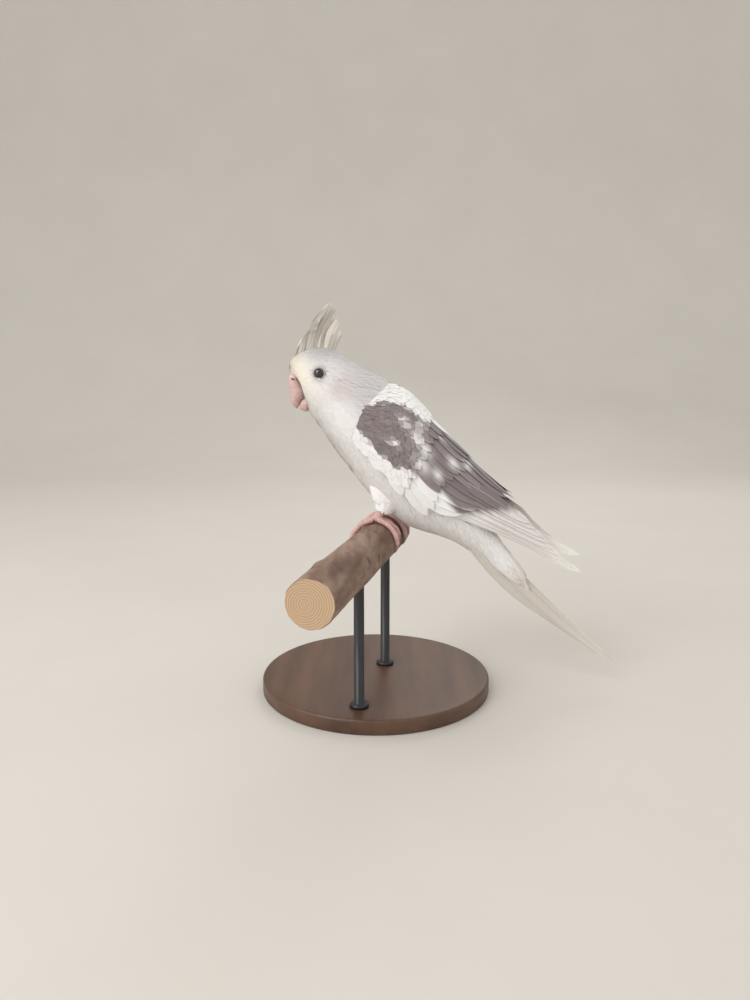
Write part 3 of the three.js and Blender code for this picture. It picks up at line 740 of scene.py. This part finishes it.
def make_coat(name, surface, low, high, spacing, shape, slot, keep, steps=4, lift=0.1, end=None,
              base=np.zeros_like, sink=coat_depth, colour=body_colour):
    """Small feathers in staggered rows, laid along a surface towards its far end.

    shape is a feather's length and width in spacings, keep chooses the feathers that are made, base is the
    height on which they lie at a place, and sink how deep their roots start below it.
    """
    places, angles = [], []
    for k, place in enumerate(coat_rows(low, high, spacing, surface)):
        ring = surface(np.full(60, place), np.linspace(0, 2 * math.pi, 60))
        round_it = np.linalg.norm(np.diff(ring, axis=0), axis=1).sum()
        count = max(6, int(round_it / (spacing(place) * 0.95)))
        angle = (np.arange(count) + 0.5 * (k % 2)) / count * 2 * math.pi - math.pi
        angles.append(angle + draw.normal(0, 0.22 * 2 * math.pi / count, count))
        places.append(np.full(count, place) + draw.normal(0, 0.02, count))
    place, angle = np.concatenate(places), np.concatenate(angles)
    place = np.clip(place, low, high)
    chosen = keep(place, angle, surface(place, angle, 0.0))
    place, angle = place[chosen], angle[chosen]
    size, count = np.array([spacing(p) for p in place]), len(place)
    length, width = shape
    steady = np.maximum(place, STEADY_PLACE)
    ahead = surface(steady + 0.05, angle) - surface(steady - 0.05, angle)
    scale = np.linalg.norm(ahead, axis=-1) / 0.1
    reach = size * length * (1 + 0.12 * draw.normal(0, 1, count)) / scale
    drift = draw.normal(0, 0.03, count)
    t = np.linspace(0, 1, steps)
    last = end if end is not None else high + 1
    along = np.minimum(place[:, None] + reach[:, None] * t, last)
    turned = angle[:, None] + drift[:, None] * t
    deep = sink(place)[:, None]
    rise = -deep + (deep + lift * draw.uniform(0.5, 1.5, count)[:, None]) * (1 - (1 - t) ** 1.6)
    height = base(along) + rise
    centre = surface(along, turned, height)
    out = outward_normal(surface, along, turned, height)
    lie = out
    run = unit(np.gradient(centre, axis=1))
    side = unit(np.cross(run, out))
    out = unit(np.cross(side, run))
    half = (size * width / 2)[:, None] * np.interp(t, *SMALL_OUTLINE)
    half = half * (1 + 0.08 * draw.normal(0, 1, count))[:, None]
    chart = on_chart((place - low) / (high - low), np.mod(angle / (2 * math.pi) + 0.5, 1))
    tone = 1 + 0.02 * draw.normal(0, 1, (count, 1, 1))
    seen = centre[:, :1] * 0.4 + centre[:, -1:] * 0.6
    piece = vanes(name, centre, side, out, half, SMALL_THICKNESS, SMALL_CAMBER,
                  lambda points, local: colour(seen) * tone, chart, SMALL_COLUMNS, lie)
    return finish(piece, slot, COAT)


def buried(depth):
    """Roots that all start at one depth."""
    return lambda place: np.full_like(place, depth)


def off_face(place, angle, p):
    """Keeps feathers off the eyes and the root of the bill."""
    eye = np.hypot(p[..., 0] - EYE_X, p[..., 2] - EYE_Z)
    clear_eye = (eye > 3.9) | (np.abs(p[..., 1]) < 5)
    cere = (p[..., 0] < -47.5) & (p[..., 2] < 197.4)
    return clear_eye & ~cere


def outside_wings(place, angle, p):
    """Leaves out the flanks that the folded wings hide."""
    turned = np.degrees(np.abs(angle))
    hidden = (place > 8.6) & (turned > 26) & (turned < 92)
    return ~hidden


def make_body_coat():
    make_coat("coat_face", body_point, 0.0, 2.6, lambda p: mix(0.6, 0.95, p / 2.6), (3.4, 1.8),
              "face_plumage", off_face, 5, 0.04, sink=lambda p: coat_depth(p) + 2 * smooth_step(0.25, 0, p))
    make_coat("coat_head", body_point, 2.3, 5.2, lambda p: mix(0.95, 1.5, (p - 2.3) / 2.9), (4.0, 1.9),
              "face_plumage", off_face, 4, 0.06)
    make_coat("coat_neck", body_point, 4.9, 8.9, lambda p: mix(1.4, 2.2, (p - 4.9) / 4), (4.6, 2.0),
              "plumage", outside_wings, 6, 0.08)
    make_coat("coat_torso", body_point, 8.5, 15.2, lambda p: mix(2.1, 2.5, (p - 8.5) / 7), (4.6, 2.0),
              "plumage", outside_wings, 6, 0.1, BODY_LAST)
    for side, hand in SIDES:
        make_coat(f"coat_thigh_{side}", thigh_surface(hand), 0.1, 1.75, lambda p: 1.5, (3.4, 1.9), "plumage",
                  lambda place, angle, p: p[..., 2] < 122, 4, 0.06, 2,
                  base=lambda p: mix(-2.4, 0, smooth_step(0.3, 1.3, p)), sink=buried(0.3))


# Large feathers

FEATHER_STEPS = 15
FEATHER_COLUMNS = 9
FEATHER_PLACES = np.linspace(0, 1, FEATHER_STEPS)


def quill_width(t, pointed, swell):
    """How wide a feather is along its length, from a narrow root to its point."""
    rise = swell + (1 - swell) * np.sin(np.minimum(t / 0.45, 1) * math.pi / 2)
    past = np.maximum(t - 0.55, 0) / 0.45
    return rise * np.maximum(np.maximum(0, 1 - past ** (1 / pointed)) ** 0.5, 0.05)


class Quills:
    """Gathers large feathers, then joins them into one mesh."""

    def __init__(self):
        self.feathers = []

    def add(self, path, normals, width, pointed, chart, roll=0.0, mark=(0.0, 0.0), swell=0.5, lie=None):
        """One feather on a smooth path.

        roll lifts one edge, mark is the wander and tone of its colour, and lie evens its light.
        """
        run = unit(np.gradient(path, axis=0))
        out = unit(normals - run * np.sum(normals * run, axis=-1, keepdims=True))
        side = np.cross(run, out)
        t = FEATHER_PLACES
        ragged = 1 + 0.03 * np.sin(t * draw.uniform(9, 17) + draw.uniform(0, 6))
        self.feathers.append((
            path, side * math.cos(roll) + out * math.sin(roll), out * math.cos(roll) - side * math.sin(roll),
            width / 2 * quill_width(t, pointed, swell) * ragged, chart, mark,
            unit(normals if lie is None else lie)))

    def gathered(self):
        return (np.array(values) for values in zip(*self.feathers))

    def join(self, name, colour, slot, thickness=0.32, camber=0.13):
        centre, side, out, half, chart, mark, lie = self.gathered()
        wander, tone = mark.T[:, :, None]
        piece = vanes(name, centre, side, out, half, thickness, camber,
                      lambda points, local: colour(points, local, wander, tone), chart, FEATHER_COLUMNS, lie)
        return finish(piece, slot, VANES)

    def shafts(self, name, slot, radius, colour):
        """A raised shaft down each feather, thinning to its tip."""
        centre, side, out, _, chart, _, lie = self.gathered()
        half = np.broadcast_to(radius * (1 - 0.85 * FEATHER_PLACES), out.shape[:2])
        piece = vanes(name, centre + out * (0.05 + half * 0.5)[..., None], side, out, half, radius, 0.7,
                      lambda points, local: colour, chart, 3, lie)
        return finish(piece, slot, VANES)


# Tiers of the wing as in the solids, with more feathers. Pairs are for the feather nearest the back and for
# the one nearest the belly, but lift's are for the root and the tip. stack raises each feather over the next
# one, and mottle is how much the grey patch wanders from feather to feather.
TIER_VALUES = ("count", "width", "pointed", "roll", "stack", "mottle",
               "lift", "root", "tip", "root_angle", "tip_angle")
WING_TIERS = {
    "primaries": (9, 8.6, 0.72, 3, 0.5, 0.0, (1.2, 0.1), (4.0, 3.2), (8.8, 11.95), (60, 99), (52, 98)),
    "secondaries": (10, 11.5, 0.5, 8, 0.0, 1.6, (1.8, 3.4), (3.0, 3.0), (7.6, 6.1), (16, 98), (15, 99)),
    "greater_coverts": (11, 9.4, 0.62, 8, 0.0, 2.4, (2.1, 4.0), (2.3, 2.1), (5.1, 4.6), (16, 88), (18, 117)),
    "median_coverts": (10, 8.6, 0.5, 8, 0.0, 2.6, (2.2, 4.2), (1.7, 1.5), (3.7, 3.3), (18, 92), (20, 112)),
}


def wing_paint(points, local, wander, tone):
    across, along = local[..., 0], local[..., 1]
    shaft = np.exp(-(across / 0.12) ** 2) * 0.06
    edge = smooth_step(0.75, 1.0, np.abs(across)) * 0.10
    # Each feather is darker towards its root: painted shade where other feathers lie over it.
    return wing_colour(points, wander, tone) * (1 - shaft + edge - 0.05 * (1 - along))[None, :, None]


def wing_tier(surface, hand, tier):
    quills = Quills()
    t = FEATHER_PLACES
    for k in range(tier["count"]):
        share = k / (tier["count"] - 1)
        root, tip, root_angle, tip_angle = (
            mix(*tier[key], share) for key in ("root", "tip", "root_angle", "tip_angle"))
        place = mix(root, tip + 0.1 * draw.normal(), t)
        angle = np.radians(mix(root_angle, tip_angle + draw.normal(), t))
        height = mix(*tier["lift"], t) + tier["stack"] * (tier["count"] - 1 - k) * np.minimum(1, 2 * t)
        out = outward_normal(surface, place, angle, height)
        mark = (tier["mottle"] * draw.normal(), draw.uniform(-1, 1))
        quills.add(surface(place, angle, height), out, tier["width"] * (1 + 0.05 * draw.normal()),
                   tier["pointed"], on_chart(place[0] / 6, share), math.radians(tier["roll"]) * -hand, mark)
    return quills


def make_wing(side, hand):
    surface = wing_surface(hand)
    for name, values in WING_TIERS.items():
        quills = wing_tier(surface, hand, dict(zip(TIER_VALUES, values)))
        quills.join(f"{name}_{side}", wing_paint, "wing_plumage")
        if name in ("primaries", "secondaries"):
            quills.shafts(f"{name}_shafts_{side}", "wing_plumage", 0.28, PALE_GREY * 0.8)
    make_small_coverts(side, surface)


def make_small_coverts(side, surface):
    """Rows of small rounded coverts over the wing's shoulder."""
    def spot_paint(p):
        grain = np.sin(p[..., 0] * 1.7 + p[..., 2] * 0.9) * np.sin(p[..., 2] * 1.3 - p[..., 0] * 0.6)
        return wing_colour(p, 1.2 * grain, grain)

    def on_shoulder(place, angle, p):
        turned = np.degrees(np.mod(angle, 2 * math.pi))
        return (turned > 14) & (turned < 112 - 2 * place)

    make_coat(f"lesser_coverts_{side}", surface, -0.1, 2.5, lambda p: 1.9 + 0.3 * max(p, 0), (3.8, 2.1),
              "wing_plumage", on_shoulder, 6, 0.1, base=wing_height, sink=buried(0.5), colour=spot_paint)


# The tail

# The length of each pair's feathers, from the middle outward, as shares of the longest.
TAIL_SHARES = (1, 0.97, 0.91, 0.83, 0.74, 0.64)
TAIL_WIDTH = 9.2
TAIL_POINTED = 0.85
TAIL_SLOPE = math.radians(50)
TAIL_PAIR_STEP, TAIL_PAIR_DROP = 1.5, 0.6


def tail_paint(points, local, wander, tone):
    across, along = local[..., 0], local[..., 1]
    colour = blend(TAIL_BEIGE, TAIL_SHADE, 0.3 + 0.25 * tone)
    pale = 0.25 * smooth_step(0.5, 1.0, along) + 0.4 * smooth_step(0.8, 1, np.abs(across))
    return blend(colour, PRIMARY_TIP, pale)


def make_tail():
    quills = Quills()
    ahead = TAIL_TIP - TAIL_ROOT
    up = unit(np.array([-ahead[2], 0, ahead[0]]))
    t = FEATHER_PLACES
    for hand in (-1, 1):
        wide = np.array([0, hand, 0])
        normal = up * math.cos(TAIL_SLOPE) + wide * math.sin(TAIL_SLOPE)
        down = wide * math.cos(TAIL_SLOPE) - up * math.sin(TAIL_SLOPE)
        for pair, share in enumerate(TAIL_SHARES):
            along = t * share
            half = TAIL_WIDTH / 2 * quill_width(t, TAIL_POINTED, 0.5)
            shift = 0.2 + half + TAIL_PAIR_STEP * pair * (1 - 0.6 * along ** 2)
            path = TAIL_ROOT + ahead * along[:, None] + down * shift[:, None] - normal * TAIL_PAIR_DROP * pair
            chart = (0.1 + 0.8 * (pair + 0.5) / len(TAIL_SHARES), 0.3 + 0.2 * hand)
            quills.add(path, np.broadcast_to(normal, path.shape), TAIL_WIDTH, TAIL_POINTED, chart,
                       mark=(0, draw.uniform(-1, 1)))
    quills.join("tail_feathers", tail_paint, "tail_plumage")
    quills.shafts("tail_shafts", "tail_plumage", 0.34, linear(196, 178, 160))
    make_tail_coverts()


def rump_colour(p):
    return blend(body_colour(p), TAIL_BEIGE, 0.8 * smooth_step(78, 104, p[..., 0] + 0.3 * (95 - p[..., 2])))


def tail_row(dorsal, above, ventral, below, half):
    """A section round the tail's root, from distances along its ridge and square to it."""
    ridge = unit(TAIL_TIP - TAIL_ROOT)
    square = np.array([-ridge[2], 0, ridge[0]])
    top = TAIL_ROOT + ridge * dorsal + square * above
    low = TAIL_ROOT + ridge * ventral + square * below
    return [top[0], top[2], low[0], low[2], half]


def make_tail_coverts():
    """Soft coverts that run from the rump and the vent over the roots of the tail."""
    rows = np.array([
        *BODY[-4:-1],
        tail_row(12.6, 6.2, 17.5, -10.8, 8.0),
        tail_row(21, 4.2, 28, -10.6, 7.8),
        tail_row(30, 2.6, 39, -9.8, 7.2),
        tail_row(39, 1.2, 50, -8.4, 5.4),
        tail_row(50, 0.4, 60, -7.0, 4.2),
    ])

    def surface(place, angle, grow=0.0):
        return section_point(rows, place, angle, grow)

    for name, low, high, spacing, lift in (("short", 0.9, 3.4, 2.5, 0.1), ("long", 3.3, 4.9, 3.0, 0.08)):
        make_coat(f"tail_coverts_{name}", surface, low, high, lambda p: spacing, (4.4, 2.0), "tail_plumage",
                  lambda place, angle, p: place > 0, 6, lift, len(rows) - 1, sink=buried(0.5),
                  colour=rump_colour)


# The crest

CREST_COUNT = 22
CREST_WIDTH, CREST_POINTED, CREST_HEIGHT = 3.5, 0.85, 26
CREST_TURN = math.radians(42)


def crest_paint(points, local, wander, tone):
    return blend(PALE_GREY, CREAM, 0.45) * (0.98 + 0.02 * tone)[..., None]


def make_crest():
    """A fan of feathers from the crown, which lean to either side by turns."""
    quills = Quills()
    t = FEATHER_PLACES[:, None]
    for k in range(CREST_COUNT):
        share = k / (CREST_COUNT - 1)
        way = 1 if k % 2 else -1
        dorsal = read_along(BODY, mix(1.35, 4.2, share))
        side = (1, -1, 0.3, -0.4)[k % 4] * (1.6 + 0.4 * draw.normal())
        root = np.array([dorsal[0], side, dorsal[1] - 1.6])
        height = CREST_HEIGHT * math.sin(math.pi * mix(0.22, 0.86, share)) ** 1.3 * (1 + 0.05 * draw.normal())
        tip = np.array([mix(-33, CREST_TIP[0] + 3, share), side * 0.45, dorsal[1] + height])
        if k == CREST_COUNT // 2:
            tip = np.array([CREST_TIP[0], 0.3, CREST_TIP[1] - 0.5])
        bend = np.array([mix(root[0], tip[0], 0.22), side, mix(root[2], tip[2], 0.62)])
        path = root * (1 - t) ** 2 + bend * 2 * t * (1 - t) + tip * t ** 2
        run = unit(np.gradient(path, axis=0))
        turn = CREST_TURN * way + 0.2 * draw.normal()
        normal = np.stack([-run[:, 2] * math.cos(turn), np.full(FEATHER_STEPS, math.sin(turn)),
                           run[:, 0] * math.cos(turn)], axis=-1)
        quills.add(path, normal, CREST_WIDTH, CREST_POINTED, (0.1 + 0.8 * share, 0.5),
                   mark=(0, draw.uniform(-1, 1)), swell=0.35, lie=normal * 0.35 + [0, way, 0.25])
    quills.join("crest_feathers", crest_paint, "face_plumage", thickness=0.1, camber=0.1)


# The bill, eyes and feet

# Places beside the bill, on the right, and the reach of what lies there along x, y and z.
CERE_AT, CERE_SIZE = (-49.6, 2.9, 195.6), (2.5, 2.5, 2.3)
HOLE_AT, HOLE_SIZE = (-50.4, 5.3, 195.0), (0.75, 0.9, 0.7)
NOSTRIL_AT, NOSTRIL_SIZE = (-49.6, 4.75, 194.9), (0.95, 0.7, 0.8)


def smooth_sections(name, rows, steps, sides, grow=0.0):
    return closed_tube(name, rings_of(lambda p, a, g: section_point(rows, p, a, g), 0, len(rows) - 1,
                                      steps, sides, grow))


def ball(name, centre, radii, rings=32, sides=48):
    lat = np.linspace(0.02, math.pi - 0.02, rings)
    lon = full_turn(sides)
    grid = np.stack([np.outer(np.sin(lat), np.cos(lon)), np.outer(np.sin(lat), np.sin(lon)),
                     np.outer(np.cos(lat), np.ones(sides))], axis=-1)
    return closed_tube(name, grid * np.asarray(radii) + np.asarray(centre))


def ring_torus(name, centre, major, minor, squash, sides=64, around=14):
    """A flattened ring that faces sideways, such as an eyelid, with folds across it."""
    lon, lat = full_turn(sides)[:, None], full_turn(around)[None, :]
    wide = major + minor * np.cos(lat) * (1 + 0.12 * np.sin(lon * 9))
    depth = np.broadcast_to(squash * minor * np.sin(lat), wide.shape)
    grid = np.stack([np.cos(lon) * wide, depth, np.sin(lon) * wide], axis=-1) + np.asarray(centre)
    piece = new_object(name, grid.reshape(-1, 3), ring_faces(sides, around, closed=True))
    face_outward(piece)
    return piece


def make_bill():
    upper = smooth_sections("bill_upper_horn", BILL_UPPER, 40, 40)
    finish(upper, "bill", BILL, replaces=("bill_upper",))
    lower = smooth_sections("bill_lower_horn", BILL_LOWER, 28, 36)
    carve(lower, smooth_sections("cutter", BILL_UPPER, 40, 40, GAP))
    finish(lower, "bill", BILL, replaces=("bill_lower",))


def make_side_of_face(side, hand):
    """An eye with its lid, and the cere with its nostril."""
    def here(place):
        return place[0], hand * place[1], place[2]

    eye = ball(f"eyeball_{side}", here((EYE_X, EYE_Y, EYE_Z)), (EYE_RADIUS,) * 3)
    finish(eye, "eye", EYE, replaces=(f"eye_{side}",))
    lid_at = here((EYE_X, EYE_Y + EYE_SUNK * EYE_RADIUS - 0.15, EYE_Z))
    finish(ring_torus(f"eyelid_{side}", lid_at, LID_RADIUS, LID_THICKNESS, LID_SQUASH), "face_plumage", LID)
    cere = ball(f"cere_{side}", here(CERE_AT), CERE_SIZE)
    carve(cere, ball("hole", here(HOLE_AT), HOLE_SIZE, 12, 16))
    cere.data.shade_smooth()
    finish(cere, "bill", CERE)
    # A dark ball in the cere's hole: the nostril's flesh, darkened with painted shade for the depth of the
    # opening.
    finish(ball(f"nostril_{side}", here(NOSTRIL_AT), NOSTRIL_SIZE, 16, 24), "bill", NOSTRIL)


# Toes: their way round the perch, how far they spread along it, and the degrees that they reach round it.
TOES = ((1, -6.0, 78), (1, 3.5, 70), (-1, -4.0, 84), (-1, 4.5, 66))
TOE_RADIUS = 1.9
KNUCKLE_HEIGHT, KNUCKLE_SIZE = 2.9, (3.1, 2.7, 2.6)
SHANK = np.array([4.4, 0, 6.0])


def toe_point(toe, hand, t, radius):
    way, spread, sweep = toe
    angle = np.radians(90 + way * (6 + sweep * t))
    along = leg_place(hand) + spread * np.minimum(1, 0.25 + t)
    return round_perch(along, angle, PERCH_RADIUS + GAP + radius)


def tube_on(name, path, radii, sides):
    """A tube along a path, with a radius at each of its points."""
    run = unit(np.gradient(path, axis=0))
    across = np.cross([0, 1, 0], run)
    across[np.linalg.norm(across, axis=1) < 1e-3] = [1, 0, 0]
    across = unit(across)
    over = np.cross(run, across)
    turn = full_turn(sides)[:, None]
    rings = (path[:, None] + across[:, None] * (np.cos(turn) * radii[:, None, None])
             + over[:, None] * (np.sin(turn) * radii[:, None, None]))
    return closed_tube(name, rings)


def make_foot(side, hand):
    """Four padded toes with a claw each, a knuckle and a shank."""
    parts = []
    along, hooked = np.linspace(0, 1, 60), np.linspace(0, 1, 20)
    pads = 1 + 0.07 * np.sin(along * math.pi * 6 + 0.6) + 0.03 * np.abs(np.sin(along * math.pi * 22))
    radii = TOE_RADIUS * (1 - 0.22 * along) * pads * 0.96
    radii = radii * np.sqrt(np.clip((1.02 - along) / 0.08, 0.35, 1))
    for k, toe in enumerate(TOES):
        parts.append(tube_on(f"toe_{k}", toe_point(toe, hand, along, radii + 0.05), radii, 20))
        hook = toe_point(toe, hand, 0.985 + 0.262 * hooked, 1.35 - 0.9 * hooked ** 2)
        claw = tube_on(f"claw_horn_{side}_{k + 1}", hook, 1.12 * (1 - hooked) ** 0.8 + 0.12, 14)
        finish(claw, "claw", CLAW, replaces=(f"claw_{side}_{k + 1}",))
    knuckle = round_perch(leg_place(hand), math.radians(88), PERCH_RADIUS + GAP + KNUCKLE_HEIGHT)
    parts.append(ball("knuckle", knuckle, KNUCKLE_SIZE, 20, 28))
    upward = np.linspace(0, 1, 24)
    parts.append(tube_on("shank", knuckle + SHANK * upward[:, None],
                         2.35 - 0.25 * upward + 0.06 * np.sin(upward * 40), 20))
    foot = joined(f"foot_scaled_{side}", parts, 0.28)
    foot.data.shade_smooth()
    finish(foot, "foot_skin", FOOT, replaces=(f"foot_{side}",))


# The perch and the stand

PERCH_STEPS, PERCH_SIDES = 150, 96
# Knots of the branch: their distance along it, angle round it and size.
KNOTS = ((-96, 2.2, 5), (-70, 1.1, 4), (-52, 2.9, 4.5), (-34, 1.7, 3.5), (-108, 0.6, 4))
BASE_EDGE, BASE_CHAMFER, BASE_FLAT = 1.6, 0.7, 9
COLLAR_RADIUS = 5.6
ROD_INTO_PERCH = 0.9


def make_perch():
    distance, angle = np.meshgrid(np.linspace(*PERCH_ENDS, PERCH_STEPS), full_turn(PERCH_SIDES),
                                  indexing="ij")
    wave = (0.16 * np.sin(angle * 3 + distance * 0.05) + 0.12 * np.sin(angle * 7 - distance * 0.11)
            + 0.1 * np.sin(angle * 13 + distance * 0.31) * np.sin(distance * 0.23))
    knots = np.zeros_like(wave)
    for at, turn, size in KNOTS:
        off = np.angle(np.exp(1j * (angle - turn))) * PERCH_RADIUS
        knots += 0.8 * np.exp(-(((distance - at) / size) ** 2 + (off / (0.7 * size)) ** 2))
    grip = smooth_step(12, 22, np.abs(distance - 12))
    radius = PERCH_RADIUS + (wave * 0.8 + knots) * grip - 0.1
    ends = np.minimum(distance - PERCH_ENDS[0], PERCH_ENDS[1] - distance)
    radius = radius - 0.5 * np.exp(-ends / 0.6)
    perch = closed_tube("branch", round_perch(distance, angle, radius))
    finish(perch, "bark", BARK, CUT_WOOD, replaces=("perch",))
    for face in perch.data.polygons[-2 * PERCH_SIDES:]:
        face.material_index = 1
        face.use_smooth = False


def lathe(name, profile, centre, sides=128):
    """A turned form from a profile of radii and heights."""
    turn = full_turn(sides)
    rings = [np.stack([r * np.cos(turn) + centre[0], r * np.sin(turn) + centre[1],
                       np.full(sides, float(z))], axis=-1) for r, z in profile]
    return closed_tube(name, rings)


def make_stand():
    corner = [(BASE_RADIUS - BASE_EDGE * (1 - math.sin(a)), BASE_THICKNESS - BASE_EDGE * (1 - math.cos(a)))
              for a in np.linspace(math.pi / 2, 0, 8)]
    profile = [(0.5, 0), (BASE_RADIUS - BASE_CHAMFER, 0), (BASE_RADIUS, BASE_CHAMFER), *corner,
               (BASE_RADIUS - BASE_FLAT, BASE_THICKNESS), (0.5, BASE_THICKNESS)]
    base = lathe("display_base", profile, (0, 0))
    finish(base, "stand_wood", STAND_WOOD, replaces=("stand_base",))
    top = PERCH_AXIS_Z - PERCH_RADIUS + ROD_INTO_PERCH
    foot = BASE_THICKNESS + 0.05
    collar = [(0.2, foot), (COLLAR_RADIUS, foot), (COLLAR_RADIUS, foot + 1.6),
              (COLLAR_RADIUS - 0.6, foot + 2.2), (ROD_RADIUS, foot + 2.4)]
    for k, distance in enumerate(ROD_PLACES):
        x, y, _ = round_perch(distance, 0, 0)
        rod = lathe(f"display_rod_{k + 1}",
                    [*collar, (ROD_RADIUS, top - 4), (ROD_RADIUS, top), (0.2, top)], (x, y), 48)
        finish(rod, "stand_metal", STAND_METAL, replaces=(f"stand_rod_{k + 1}",))


# Floor, light and camera

FLOOR_REACH, FLOOR_DROP, WALL_PLACE, WALL_BEND = 4000, 0.05, 1900, 900
# Lamps: their place, the size of their square and their power. All face the bird.
LAMPS = {
    "key": ((-700, -700, 900), 700, 7),
    "fill": ((-900, -600, 150), 900, 2.4),
    "back": ((300, 900, 900), 700, 3),
}
LAMPS_FACE = (20, 0, 120)


def make_floor():
    """A floor that curves up into a wall behind the bird."""
    turn = np.linspace(0, math.pi / 2, 24)
    profile = [(-FLOOR_REACH, -FLOOR_DROP),
               *zip(WALL_PLACE - WALL_BEND * (1 - np.sin(turn)), WALL_BEND * (1 - np.cos(turn)) - FLOOR_DROP),
               (WALL_PLACE, FLOOR_REACH)]
    corners = [(x, y, z) for y, z in profile for x in (-FLOOR_REACH, FLOOR_REACH)]
    strips = [(2 * k, 2 * k + 1, 2 * k + 3, 2 * k + 2) for k in range(len(profile) - 1)]
    floor = new_object("floor", corners, strips)
    floor.data.materials.append(FLOOR_PAINT)


def make_light():
    bpy.context.scene.view_settings.view_transform = "Standard"
    world = bpy.data.worlds.new("studio")
    world.use_nodes = True
    sky = world.node_tree.nodes["Background"]
    sky.inputs["Color"].default_value = (0.9, 0.89, 0.87, 1)
    sky.inputs["Strength"].default_value = 0.86
    bpy.context.scene.world = world
    for name, (place, size, power) in LAMPS.items():
        light = bpy.data.lights.new(name, "AREA")
        light.energy = power
        light.size = size * MM
        lamp = placed(name, light)
        lamp.location = np.array(place) * MM
        facing = Vector((np.array(LAMPS_FACE) - place) * MM)
        lamp.rotation_euler = facing.to_track_quat("-Z", "Y").to_euler()


def make_camera():
    lens = bpy.data.cameras.new("photo_camera")
    lens.sensor_width = SENSOR
    lens.lens = FOCAL_PIXELS / PHOTO_HEIGHT * SENSOR
    lens.clip_start = 0.01
    camera = placed("photo_camera", lens)
    camera.location = np.array(CAMERA_AT) * MM
    camera.rotation_euler = (math.pi / 2 - CAMERA_TILT, 0, 0)
    bpy.context.scene.camera = camera


make_camera()
make_floor()
make_light()
make_skin()
make_body_coat()
for wing_side, wing_hand in SIDES:
    make_wing(wing_side, wing_hand)
    make_foot(wing_side, wing_hand)
make_tail()
make_crest()
make_bill()
for face_side, face_hand in SIDES:
    make_side_of_face(face_side, face_hand)
make_perch()
make_stand()
